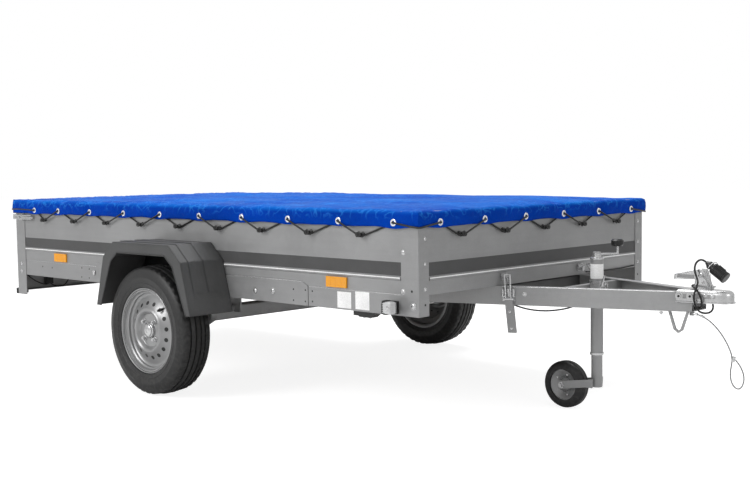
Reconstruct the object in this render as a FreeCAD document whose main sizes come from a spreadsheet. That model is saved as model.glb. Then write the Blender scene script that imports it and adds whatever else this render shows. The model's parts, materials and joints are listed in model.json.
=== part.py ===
import FreeCAD, Part

import math
import os
import re
from types import SimpleNamespace

import Sketcher
from FreeCAD import Vector

# A single-axle utility trailer whose box tilts back on its V-shaped drawbar, parked on
# its jockey wheel, with a flat tarpaulin laced over the box.
# Lengths are in millimetres. The pieces are drawn with X forward, Y left and Z up from
# the ground below the middle of the axle, and each sub-part's placement then moves them
# to the middle of the whole trailer's length.

# Driving dimensions, one spreadsheet cell each
SIZES = {
    # Gaps between neighbouring pieces
    "fit_gap": 0.3,
    "moving_gap": 5,
    "pin_gap": 0.3,
    # Box
    "box_ahead": 1360,
    "box_behind": 1413,
    "box_half": 739.5,
    "wall_top": 792,
    "wall_thick": 2,
    "lip_width": 25,
    "lip_drop": 14,
    "bead_height": 553,
    "bead_half": 8,
    "bead_deep": 4,
    "bead_gap": 3,
    "floor_low": 515,
    "floor_thick": 9,
    "post_thick": 2.5,
    "post_side": 83,
    "post_face": 55,
    "front_post_low": 421,
    "rear_post_low": 318,
    "rail_low": 420,
    "rail_top": 495,
    "rail_flange": 40,
    "rail_thick": 2.5,
    "bearer_width": 40,
    "bearer_thick": 2,
    # Doubling plate on the side rail
    "plate_rear_in": 731,
    "plate_front_in": 571,
    "plate_chamfer": 31,
    "plate_top": 512,
    "plate_corner": 496,
    "plate_thick": 3,
    # Tailgate and light board
    "gate_low": 510,
    "gate_lid_gap": 7,
    "gate_thick": 25,
    "hinge_out": 6,
    "hinge_drop": 4,
    "hinge_radius": 5,
    "hinge_half": 15.5,
    "hinge_gap": 0.5,
    "hinge_reach": 450,
    "hinge_leaf": 40,
    "board_low": 335,
    "board_top": 494,
    "board_lip": 30,
    "lamp_width": 215,
    "lamp_height": 100,
    "lamp_deep": 30,
    "lamp_lift": 10,
    "lamp_round": 8,
    "buffer_deep": 30,
    "buffer_height": 28,
    "buffer_wide": 40,
    "buffer_round": 10,
    # Tilting hinge of the box
    "tilt_behind": 180,
    "tilt_height": 505,
    "tilt_knuckle": 8,
    "tilt_pin": 5,
    "tilt_plate": 6,
    "tilt_neck": 25,
    "tilt_sole_behind": 18,
    "tilt_sole_ahead": 60,
    "tilt_sole_inset": 7,
    "tilt_gap": 1,
    "tilt_ear_half": 16,
    "tilt_ear_drop": 12,
    # Drawbar
    "draw_angle": 20,
    "draw_reach": 675,
    "nose_half": 52,
    "beam_in": 179.5,
    "beam_behind": 200,
    "beam_low": 425,
    "beam_high": 70,
    "beam_flange": 35,
    "beam_thick": 3,
    "cross_depth": 24.7,
    "cross_behind": 150,
    "cross_width": 40,
    "cross_thick": 3,
    # Axle
    "tube_ahead": 75,
    "tube_height": 324,
    "tube_size": 60,
    "tube_wall": 5,
    "tube_round": 8,
    "tube_in": 89.5,
    "bracket_half": 70,
    "bracket_thick": 8,
    "arm_radius": 38,
    "arm_boss": 28,
    "collar_radius": 24,
    "collar_short": 72,
    "arm_thick": 30,
    "stub_radius": 14,
    "wheel_out": 132.5,
    # Wheels
    "tyre_radius": 274,
    "tyre_half": 77.5,
    "tread_half": 60,
    "tread_drop": 4,
    "shoulder_in": 6,
    "shoulder_drop": 20,
    "bead_radius": 170,
    "rim_flange": 181,
    "rim_half": 64,
    "rim_well": 140,
    "rim_thick": 4,
    "well_out": 14,
    "well_in": 20,
    "well_slope": 10,
    "disc_offset": 34,
    "disc_edge": 12,
    "vent_circle": 118,
    "vent_radius": 10,
    "vent_count": 16,
    "vent_deep": 10,
    "vent_band": 12.5,
    "hub_bore": 32,
    "hat_radius": 92,
    "hat_band": 8,
    "dish_radius": 66,
    "dish_deep": 26,
    "hub_radius": 60,
    "hub_barrel": 36,
    "hub_behind": 18,
    "hub_flange": 10,
    "hub_cap": 30,
    "hub_cap_nose": 24,
    "hub_cap_out": 10,
    "hub_cap_seat": 2,
    # Mudguards
    "guard_out": 88,
    "guard_thick": 4,
    "guard_low": 362,
    "guard_high": 643,
    "guard_shoulder": 576,
    "guard_foot_half": 335,
    "guard_waist_half": 276,
    "guard_top_half": 199,
    "arch_foot_half": 305,
    "arch_waist_half": 222,
    "arch_top_half": 172,
    "arch_shoulder": 557,
    "arch_high": 598,
    # Coupling
    "coupling_back": 51,
    "coupling_low": 459,
    "coupling_top": 503,
    "coupling_wall": 5,
    "coupling_side": 3,
    "coupling_round": 12,
    "coupling_rise": 12,
    "coupling_run": 33,
    "socket_reach": 93,
    "ball_radius": 25,
    "nose_radius": 36,
    "coupling_lip": 3,
    "handle_reach": 11,
    "handle_height": 556,
    "handle_radius": 19,
    "handle_half": 14,
    "handle_long": 104,
    "handle_droop": 4,
    "tab_long": 14,
    "tab_high": 14,
    # Jockey wheel
    "jockey_back": 426,
    "jockey_radius": 24,
    "jockey_low": 223,
    "jockey_top": 590,
    "cap_top": 616,
    "cap_radius": 15,
    "leg_radius": 21.3,
    "leg_wall": 3,
    "leg_low": 72,
    "leg_top": 470,
    "nut_high": 20,
    "spindle_radius": 8,
    "jockey_trail": 139,
    "jockey_wheel_radius": 92,
    "jockey_wheel_half": 25,
    "jockey_rim_radius": 60,
    "jockey_bore": 9,
    "jockey_shoulder": 8,
    "fork_half": 33,
    "fork_thick": 4,
    "fork_high": 36,
    "yoke_behind": 28,
    "yoke_ahead": 18,
    "yoke_web": 22,
    "jockey_boss": 18,
    "dish_inner": 24,
    "dish_outer": 55,
    "dish_cut": 18,
    "jockey_rim_in": 3,
    "leg_floor": 4,
    "jockey_lid": 6,
    "crank_height": 606,
    "crank_turn": 71.1,
    "crank_reach": 98,
    "crank_rise": 28,
    "crank_radius": 5,
    "knob_radius": 24,
    "knob_high": 27,
    "knob_chamfer": 6,
    # Lamps and reflectors on the rails
    "marker_in": 98,
    "marker_height": 449,
    "marker_wide": 44,
    "marker_deep": 46,
    "marker_high": 50,
    "marker_out": 20,
    "marker_arm": 18,
    "marker_base": 8,
    "marker_base_high": 46,
    "marker_web": 38,
    "reflector_high": 40,
    "reflector_low": 502,
    "reflector_deep": 7,
    "reflector_rear": 420,
    "reflector_front": 411,
    "reflector_wide": 108,
    "chock_in": 129,
    "chock_long": 198,
    "chock_high": 11,
    "chock_slope": 20,
    # Levers that shut the tailgate
    "lever_ahead": 183,
    "lever_behind": 5,
    "lever_low": 704,
    "lever_high": 18,
    "lever_thick": 10,
    "lever_sink": 1,
    "lever_plate": 64,
    # Levers that hold the box down
    "latch_reach": 25,
    "latch_in": 33.6,
    "latch_plate": 55,
    "lever_foot": 322,
    "lever_head": 452,
    "lever_wide": 30,
    "lever_wall": 3,
    "catch_low": 512,
    "catch_high": 30,
    "bow_top": 548,
    "bow_half": 16,
    "bow_wire": 6,
    # Plug, its cable and the breakaway rope
    "cable_radius": 3.5,
    "gland_side": 33,
    "gland_radius": 9,
    "gland_long": 20,
    "gland_sink": 0.5,
    "rope_radius": 2.2,
    "rope_side": 40,
    "lug_half": 4,
    "lug_long": 14,
    "lug_deep": 14,
    "plug_radius": 21,
    "plug_neck": 15,
    "plug_long": 92,
    "plug_neck_long": 28,
    "plug_reach": 37,
    "plug_side": 20,
    "plug_height": 600,
    "plug_drop": 35,
    # Wire loop under the drawbar
    "loop_rear": 87,
    "loop_front": 14,
    "loop_side": 55,
    "loop_low": 350,
    "loop_foot": 14,
    "loop_wire": 8,
    # Tarpaulin
    "tarp_thick": 3.5,
    "tarp_off": 8,
    "skirt_low": 734,
    "lace_radius": 3.5,
    "lace_gap": 0.5,
    "lace_drop": 9.5,
    "hook_height": 706,
    "hook_stem": 4.5,
    "hook_head": 11,
    "hook_head_thick": 4,
    "hook_rear": 288,
    "hook_front": 271,
    "hook_count": 9,
    "eyelet_height": 752,
    "eyelet_hole": 6.5,
    "eyelet_lift": 1.6,
    "eyelet_first": 199,
    "eyelet_rear": 423,
    "eyelet_front": 110,
    "cross_hook_in": 223.5,
    "cross_hook_count": 5,
    "cross_eyelet_in": 107,
}

size = SimpleNamespace(**SIZES)

# Places that follow the box: the drawbar's nose, the faces of its beams, and the jockey wheel
NOSE_X = size.box_ahead + size.draw_reach
BEAM_Y = size.box_half - size.beam_in
JOCKEY_X = NOSE_X - size.jockey_back
WHEEL_Y = size.box_half + size.wheel_out
SIDES = (("right", -1), ("left", 1))

doc = FreeCAD.newDocument("utility_trailer")
sheet = doc.addObject("Spreadsheet::Sheet", "sizes")
for row, (name, value) in enumerate(SIZES.items(), 1):
    sheet.set(f"A{row}", str(value))
    sheet.setAlias(f"A{row}", name)
doc.recompute()

subparts = []


# Reach ahead of the axle, and half the difference between the reach behind it and that
FRONT = "box_ahead + draw_reach + socket_reach + nose_radius + coupling_lip"
MIDDLE = f"(box_behind + buffer_deep - ({FRONT})) / 2"


def bind(text):
    """Turn plain words of an expression into references to the spreadsheet."""
    return re.sub(r"[a-z]+(_[a-z]+)+", lambda word: "sizes." + word.group(0), text)


def keep(item, label, raised="0"):
    """Name a sub-part and place it in the frame of the whole trailer."""
    item.Label = label
    item.setExpression("Placement.Base.x", bind(MIDDLE))
    item.setExpression("Placement.Base.z", bind(raised))
    subparts.append(item)
    return item


def origin_plane(body, plane):
    """Find one of a body's own origin planes."""
    return next(item for item in body.Origin.OriginFeatures if item.Role == plane + "_Plane")


def tie(sketch, constraint, rule):
    """Add a constraint whose value follows an expression."""
    index = sketch.addConstraint(constraint)
    sketch.setExpression(f"Constraints[{index}]", bind(rule))


# Radius of the rough ring that every outline starts as, before its constraints place it
ROUGH = 100


def draw(body, plane, outlines=(), circles=(), offset="0"):
    """Sketch closed outlines and circles whose places are all tied to the spreadsheet."""
    sketch = body.newObject("Sketcher::SketchObject", body.Name + "_sketch")
    sketch.AttachmentSupport = [(origin_plane(body, plane), "")]
    sketch.MapMode = "FlatFace"
    sketch.setExpression("AttachmentOffset.Base.z", bind(offset))
    for outline in outlines:
        first = sketch.GeometryCount
        count = len(outline)
        turn = 2 * math.pi / count
        ring = [Vector(ROUGH * math.cos(turn * i), ROUGH * math.sin(turn * i), 0) for i in range(count)]
        for i in range(count):
            sketch.addGeometry(Part.LineSegment(ring[i], ring[(i + 1) % count]), False)
        for i in range(count):
            following = first + (i + 1) % count
            sketch.addConstraint(Sketcher.Constraint("Coincident", first + i, 2, following, 1))
        for i, (across, up) in enumerate(outline):
            tie(sketch, Sketcher.Constraint("DistanceX", -1, 1, first + i, 1, ring[i].x), across)
            tie(sketch, Sketcher.Constraint("DistanceY", -1, 1, first + i, 1, ring[i].y), up)
    for across, up, radius in circles:
        ring = sketch.addGeometry(Part.Circle(Vector(ROUGH, ROUGH, 0), Vector(0, 0, 1), ROUGH), False)
        tie(sketch, Sketcher.Constraint("DistanceX", -1, 1, ring, 3, ROUGH), across)
        tie(sketch, Sketcher.Constraint("DistanceY", -1, 1, ring, 3, ROUGH), up)
        tie(sketch, Sketcher.Constraint("Radius", ring, ROUGH), radius)
    return sketch


def feature(body, kind, sketch, **settings):
    """Add a solid feature to a body; text settings are expressions."""
    item = body.newObject("PartDesign::" + kind, body.Name + "_" + kind.lower())
    item.Profile = sketch
    for name, value in settings.items():
        if isinstance(value, str):
            item.setExpression(name, bind(value))
        else:
            setattr(item, name, value)
    body.Tip = item
    return item


def prism(label, plane, outlines, start, length, circles=(), raised="0"):
    """A body padded from one sketch, from start upward along the plane's world axis."""
    body = keep(doc.addObject("PartDesign::Body", label), label, raised)
    offset = f"-({start}) - ({length})" if plane == "XZ" else start
    feature(body, "Pad", draw(body, plane, outlines, circles, offset), Length=length)
    return body


def pocket(body, plane, outlines, start, length, circles=()):
    """Cut the outlines through a body, from start upward along the plane's world axis."""
    before = body.Shape.Volume if body.Tip and not body.Shape.isNull() else 0
    offset = f"-({start})" if plane == "XZ" else f"({start}) + ({length})"
    item = feature(body, "Pocket", draw(body, plane, outlines, circles, offset), Length=length)
    doc.recompute()
    if before and body.Shape.Volume > before - 0.001:
        raise ValueError(f"{item.Label} cuts nothing")
    return item


def spin(label, plane, outline, axis, raised="0"):
    """A body turned from one outline about an axis of its sketch."""
    body = keep(doc.addObject("PartDesign::Body", label), label, raised)
    sketch = draw(body, plane, [outline])
    feature(body, "Revolution", sketch, ReferenceAxis=(sketch, [axis]), Angle=360.0)
    return body


def cast(label, shape):
    """A sub-part whose shape is made directly."""
    item = doc.addObject("Part::Feature", label)
    item.Shape = shape
    return keep(item, label)


def block(x, y, z):
    """A solid box from three pairs of limits."""
    corner = Vector(min(x), min(y), min(z))
    return Part.makeBox(abs(x[1] - x[0]), abs(y[1] - y[0]), abs(z[1] - z[0]), corner)


def round_bar(radius, start, end):
    """A solid round bar between two points."""
    along = Vector(*end) - Vector(*start)
    return Part.makeCylinder(radius, along.Length, Vector(*start), along)


def rectangle(low, high, bottom, top):
    return [(low, bottom), (high, bottom), (high, top), (low, top)]


def sheet_wall(label, plane, face, inward, low, high, spans, foot=""):
    """A folded sheet wall: a lip turned in at its top edge and a bead pressed along it."""
    inner = f"{face} + {inward} * wall_thick"
    edge = f"{face} + {inward} * lip_width"
    folded = [
        (face, low),
        (face, high),
        (edge, high),
        (edge, f"{high} - lip_drop"),
        (f"{edge} - {inward} * wall_thick", f"{high} - lip_drop"),
        (f"{edge} - {inward} * wall_thick", f"{high} - wall_thick"),
        (inner, f"{high} - wall_thick"),
    ]
    if foot:
        folded.append((inner, f"{low} + wall_thick"))
        folded.append((f"{face} + {inward} * {foot}", f"{low} + wall_thick"))
        folded.append((f"{face} + {inward} * {foot}", low))
    else:
        folded.append((inner, low))
    (start, length), (bead_start, bead_length) = spans
    body = prism(label, plane, [folded], start, length)
    crest = f"{face} - {inward} * bead_deep"
    hollow = f"{crest} + {inward} * wall_thick"
    offset = f"-({bead_start}) - ({bead_length})" if plane == "XZ" else bead_start
    ridge = [(inner, BEAD_FOOT), (face, BEAD_FOOT), (crest, BEAD_LOW)]
    ridge += [(crest, BEAD_HIGH), (face, BEAD_HEAD), (inner, BEAD_HEAD)]
    feature(body, "Pad", draw(body, plane, [ridge], (), offset), Length=bead_length)
    doc.recompute()
    groove = [(inner, BEAD_FOOT), (hollow, BEAD_LOW), (hollow, BEAD_HIGH), (inner, BEAD_HEAD)]
    pocket(body, plane, [groove], bead_start, bead_length)


def cut_plate(points, start, length, axis):
    """A flat plate cut to an outline, from start along one axis."""
    if axis == "x":
        corners = [Vector(start, y, z) for y, z in points]
        along = Vector(length, 0, 0)
    elif axis == "y":
        corners = [Vector(x, start, z) for x, z in points]
        along = Vector(0, length, 0)
    else:
        corners = [Vector(x, y, start) for x, y in points]
        along = Vector(0, 0, length)
    return Part.Face(Part.makePolygon(corners + corners[:1])).extrude(along)


def upright(radius, x, y, low, high):
    """A solid round bar standing upright."""
    return Part.makeCylinder(radius, high - low, Vector(x, y, low))


def even(low, high, count):
    """Evenly spaced places from low to high."""
    return [low + (high - low) * step / (count - 1) for step in range(count)]


def tube(points, radius, share=0.45):
    """A cord's solid: straight runs joined by arcs as large as the runs allow."""
    points = [Vector(*point) for point in points]
    edges = []
    radii = []
    last = points[0]
    for before, corner, after in zip(points, points[1:], points[2:]):
        back = (before - corner).normalize()
        ahead = (after - corner).normalize()
        reach = share * min((before - corner).Length, (after - corner).Length)
        half_turn = (math.pi - back.getAngle(ahead)) / 2
        radii.append(reach / math.tan(half_turn))
        start = corner + back * reach
        end = corner + ahead * reach
        inward = (back + ahead).normalize()
        depth = radii[-1] / math.cos(half_turn) - radii[-1]
        edges.append(Part.LineSegment(last, start).toShape())
        edges.append(Part.Arc(start, corner + inward * depth, end).toShape())
        last = end
    edges.append(Part.LineSegment(last, points[-1]).toShape())
    path = Part.Wire(edges)
    section = Part.Wire(Part.Circle(points[0], points[1] - points[0], radius).toShape())
    solid = path.makePipeShell([section], True, False)
    print("tightest bend", round(min(radii)), "length", round(path.Length))
    expected = math.pi * radius**2 * path.Length
    if abs(solid.Volume - expected) > 0.02 * expected:
        raise ValueError("the tube's volume is not its section times its length")
    return solid


def channel(face, inward, low, high, depth, thick):
    """Outline of a channel section: its web at face and its flanges turned inward."""
    edge = f"{face} + {inward} * {depth}"
    inner = f"{face} + {inward} * {thick}"
    return [
        (face, low),
        (face, high),
        (edge, high),
        (edge, f"{high} - {thick}"),
        (inner, f"{high} - {thick}"),
        (inner, f"{low} + {thick}"),
        (edge, f"{low} + {thick}"),
        (edge, low),
    ]


# Heights of the pressed bead's four edges
BEAD_FOOT = "(bead_height - bead_half)"
BEAD_LOW = "(bead_height - bead_half / 2)"
BEAD_HIGH = "(bead_height + bead_half / 2)"
BEAD_HEAD = "(bead_height + bead_half)"

# Box
FACE = "(box_half - post_thick)"
REAR_END = "-(box_behind - post_thick - fit_gap)"
FRONT_END = "(box_ahead - post_thick - fit_gap)"
SPAN = f"{FRONT_END} - {REAR_END}"
WHEEL = "(box_half + wheel_out)"
GUARD = "(box_half + wheel_out + guard_out)"
NOSE = "(box_ahead + draw_reach)"
SPREAD = "(box_half - beam_in)"


def make_floor():
    low = "-(box_behind - gate_thick - moving_gap)"
    high = "(box_ahead - post_thick - wall_thick - fit_gap)"
    reach = f"({FACE} - wall_thick - fit_gap)"
    outline = rectangle(low, high, f"-{reach}", reach)
    prism("floor_board", "XY", [outline], "floor_low", "floor_thick")


def make_sides():
    for side, hand in SIDES:
        face = f"{hand} * {FACE}"
        bead_start = "-(box_behind - post_side - bead_gap)"
        bead = (bead_start, "box_ahead + box_behind - 2 * (post_side + bead_gap)")
        spans = ((REAR_END, SPAN), bead)
        sheet_wall(f"side_panel_{side}", "YZ", face, -hand, "rail_top + fit_gap", "wall_top", spans)
        rail = channel(face, -hand, "rail_low", "rail_top", "rail_flange", "rail_thick")
        prism(f"side_rail_{side}", "YZ", [rail], REAR_END, SPAN)
        plate_rear = "plate_rear_in - box_behind"
        plate_front = "box_ahead - plate_front_in"
        doubling = [
            (plate_rear, "rail_low"),
            (plate_rear, "plate_top"),
            (f"{plate_front} - plate_chamfer", "plate_top"),
            (plate_front, "plate_corner"),
            (plate_front, "rail_low"),
        ]
        start = FACE if hand > 0 else f"-{FACE} - plate_thick"
        prism(f"side_plate_{side}", "XZ", [doubling], start, "plate_thick")


def make_posts():
    for end, way, corner, low in (
        ("front", 1, "box_ahead", "front_post_low"),
        ("rear", -1, "-box_behind", "rear_post_low"),
    ):
        for side, hand in SIDES:
            outer = f"{hand} * box_half"
            angle = [
                (corner, outer),
                (f"{corner} - {way} * post_side", outer),
                (f"{corner} - {way} * post_side", f"{outer} - {hand} * post_thick"),
                (f"{corner} - {way} * post_thick", f"{outer} - {hand} * post_thick"),
                (f"{corner} - {way} * post_thick", f"{outer} - {hand} * post_face"),
                (corner, f"{outer} - {hand} * post_face"),
            ]
            prism(f"post_{end}_{side}", "XY", [angle], low, f"wall_top - {low}")


def make_front():
    half = f"({FACE} - lip_width - fit_gap)"
    bead_half = "(box_half - post_face - bead_gap)"
    spans = ((f"-{half}", f"2 * {half}"), (f"-{bead_half}", f"2 * {bead_half}"))
    face = "(box_ahead - post_thick)"
    sheet_wall("front_panel", "XZ", face, -1, "rail_top + fit_gap", "wall_top", spans)


def make_bearers():
    """Low channel bearers under the floor, resting on the drawbar beams."""
    half = size.box_half - size.post_thick - size.wall_thick - size.fit_gap
    low = size.rail_top + size.fit_gap
    high = size.floor_low - size.fit_gap
    rear = -size.box_behind + size.gate_thick + size.bearer_width
    front = size.box_ahead - size.bearer_width
    pieces = []
    for share in (0, 0.2, 0.36, 0.64, 0.82, 1):
        middle = rear + share * (front - rear)
        span = (middle - size.bearer_width / 2, middle + size.bearer_width / 2)
        hollow = (span[0] + size.bearer_thick, span[1] - size.bearer_thick)
        outer = block(span, (-half, half), (low, high))
        pieces.append(outer.cut(block(hollow, (-half - 1, half + 1), (low - 1, high - size.bearer_thick))))
    cast("floor_bearers", Part.makeCompound(pieces))


def make_tailgate():
    half = "(box_half - post_face - moving_gap)"
    span = (f"-{half}", f"2 * {half}")
    top = "(wall_top - gate_lid_gap)"
    sheet_wall("tailgate", "XZ", "-box_behind", 1, "gate_low", top, (span, span), foot="gate_thick")
    face = "-(box_behind - post_thick)"
    board = channel(face, 1, "board_low", "board_top", "board_lip", "post_thick")
    reach = f"({FACE} - rail_flange - fit_gap)"
    prism("light_board", "XZ", [board], f"-{reach}", f"2 * {reach}")


def make_gate_hinges():
    """Knuckles of the tailgate turning on pins between ears on the light board."""
    axis_x = -size.box_behind - size.hinge_out
    axis_z = size.gate_low - size.hinge_drop
    board_face = -size.box_behind + size.post_thick
    strap_top = size.bead_height - size.bead_half - size.fit_gap
    leaf_top = axis_z - size.hinge_radius / 2
    fixed = []
    moving = []
    for middle in even(-size.hinge_reach, size.hinge_reach, 3):
        for hand in (-1, 1):
            near = middle + hand * (size.hinge_half + size.hinge_gap)
            far = near + hand * size.hinge_half
            ear = round_bar(size.hinge_radius, (axis_x, near, axis_z), (axis_x, far, axis_z))
            leaf = block((axis_x, board_face), (near, far), (axis_z - size.hinge_leaf, leaf_top))
            fixed.append(ear.fuse(leaf).removeSplitter())
        span = (middle - size.hinge_half, middle + size.hinge_half)
        knuckle = round_bar(size.hinge_radius, (axis_x, span[0], axis_z), (axis_x, span[1], axis_z))
        strap = block((axis_x, -size.box_behind - size.fit_gap), span, (axis_z, strap_top))
        moving.append(knuckle.fuse(strap).removeSplitter())
    cast("hinge_ears", Part.makeCompound(fixed))
    cast("hinge_straps", Part.makeCompound(moving))


def make_rear_lamps():
    face = -size.box_behind + size.post_thick - size.fit_gap
    low = size.board_low + size.lamp_lift
    outer = size.box_half - size.post_face - size.moving_gap
    back = (face - size.lamp_deep, face)
    lamps = []
    for hand in (-1, 1):
        span = (hand * (outer - size.lamp_width), hand * outer)
        lamp = block(back, span, (low, low + size.lamp_height))
        edges = [edge for edge in lamp.Edges if edge.BoundBox.XMax < face - 1]
        lamps.append(lamp.makeFillet(size.lamp_round, edges))
    cast("tail_lamps", Part.makeCompound(lamps))
    rear = -size.box_behind - size.buffer_deep
    foot = size.rear_post_low
    buffers = []
    for hand in (-1, 1):
        span = (hand * (size.box_half - size.buffer_wide), hand * size.box_half)
        buffer = block((rear, -size.box_behind - size.fit_gap), span, (foot, foot + size.buffer_height))
        edges = [edge for edge in buffer.Edges if edge.BoundBox.XMax < rear + 1]
        buffers.append(buffer.makeFillet(size.buffer_round, edges))
    cast("rear_buffers", Part.makeCompound(buffers))


def make_reflectors():
    """Amber reflectors on the rails, and black chock holders hanging below the rails."""
    face = size.box_half - size.post_thick + size.fit_gap
    low = size.reflector_low
    pieces = []
    holders = []
    for hand in (-1, 1):
        for middle in (size.reflector_rear - size.box_behind, size.box_ahead - size.reflector_front):
            span = (middle - size.reflector_wide / 2, middle + size.reflector_wide / 2)
            deep = (hand * face, hand * (face + size.reflector_deep))
            pieces.append(block(span, deep, (low, low + size.reflector_high)))
        top = size.rail_low - size.fit_gap
        foot = top - size.chock_high
        ahead = size.box_ahead - size.chock_in
        behind = ahead - size.chock_long
        outline = [(behind, top), (ahead, top)]
        outline += [(ahead - size.chock_slope, foot), (behind + size.chock_slope, foot)]
        start = hand * (size.box_half - size.post_thick)
        holders.append(cut_plate(outline, start, -hand * size.rail_flange, "y"))
    cast("side_reflectors", Part.makeCompound(pieces))
    cast("chock_holders", Part.makeCompound(holders))


def make_markers():
    """White position lamps held clear of the side rails by rubber arms."""
    face = size.box_half - size.post_thick + size.fit_gap
    rear = size.box_ahead - size.marker_in - size.marker_wide / 2
    middle = size.marker_height
    arms = []
    lenses = []
    for hand in (-1, 1):
        near = hand * (face + size.marker_out)
        far = near + hand * size.marker_deep
        level = (middle - size.marker_high / 2, middle + size.marker_high / 2)
        lens = block((rear, rear + size.marker_wide), (near, far), level)
        edges = [edge for edge in lens.Edges if abs(edge.tangentAt(edge.FirstParameter).y) > 0.9]
        lenses.append(lens.makeFillet(size.marker_wide / 4, edges))
        arm_rear = rear - size.marker_arm
        base_span = (arm_rear, rear + size.marker_wide / 2)
        base_level = (middle - size.marker_base_high / 2, middle + size.marker_base_high / 2)
        base = block(base_span, (hand * face, hand * (face + size.marker_base)), base_level)
        arm_end = rear - size.fit_gap
        outline = [
            (arm_rear, hand * face),
            (arm_end, hand * face),
            (arm_end, far - hand * size.marker_base),
            (arm_end - size.marker_arm / 2, far - hand * size.marker_base),
            (arm_rear, near),
        ]
        arm = cut_plate(outline, middle - size.marker_web / 2, size.marker_web, "z")
        arms.append(base.fuse(arm).removeSplitter())
    cast("marker_arms", Part.makeCompound(arms))
    cast("marker_lenses", Part.makeCompound(lenses))


def make_tail_latches():
    """Long levers on the rear posts that hold the tailgate shut."""
    face = size.box_half + size.fit_gap
    rear = -size.box_behind
    low = size.lever_low
    top = low + size.lever_high
    pieces = []
    for hand in (-1, 1):
        plate = (rear + size.lever_behind, rear + size.lever_behind + size.lever_plate)
        near = (hand * face, hand * (face + size.wall_thick))
        bracket = block(plate, near, (low - size.lever_high / 2, top + size.lever_high / 2))
        outline = [
            (rear + size.lever_behind, low),
            (rear + size.lever_ahead, low + size.lever_high / 4),
            (rear + size.lever_ahead, top - size.lever_high / 4),
            (rear + size.lever_behind, top),
        ]
        lever = cut_plate(outline, hand * (face + size.lever_sink), hand * size.lever_thick, "y")
        pieces.append(bracket.fuse(lever).removeSplitter())
    cast("tail_latches", Part.makeCompound(pieces))


# Mudguards, wheels and axle
def make_guards():
    half_outline = [
        ("guard_foot_half", "guard_low"),
        ("guard_waist_half", "guard_shoulder"),
        ("guard_top_half", "guard_high"),
    ]
    inner_outline = [
        ("guard_foot_half - guard_thick", "guard_low - 1"),
        ("guard_waist_half - guard_thick", "guard_shoulder - guard_thick / 2"),
        ("guard_top_half - guard_thick / 2", "guard_high - guard_thick"),
    ]
    arch_outline = [
        ("arch_foot_half", "guard_low - 1"),
        ("arch_waist_half", "arch_shoulder"),
        ("arch_top_half", "arch_high"),
    ]
    for side, hand in SIDES:
        outlines = []
        for points in (half_outline, inner_outline, arch_outline):
            outlines.append(points + [(f"-({x})", z) for x, z in reversed(points)])
        near = f"({FACE} + bead_deep + fit_gap)"
        width = f"({GUARD} - {near})"
        start = near if hand > 0 else f"-{GUARD}"
        guard = prism(f"mudguard_{side}", "XZ", [outlines[0]], start, width)
        doc.recompute()
        hollow = near if hand > 0 else f"-({GUARD} - guard_thick)"
        pocket(guard, "XZ", [outlines[1]], hollow, f"{width} - guard_thick")
        plate = f"{GUARD} - guard_thick - 1" if hand > 0 else f"-{GUARD} - 1"
        pocket(guard, "XZ", [outlines[2]], plate, "guard_thick + 2")


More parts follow.
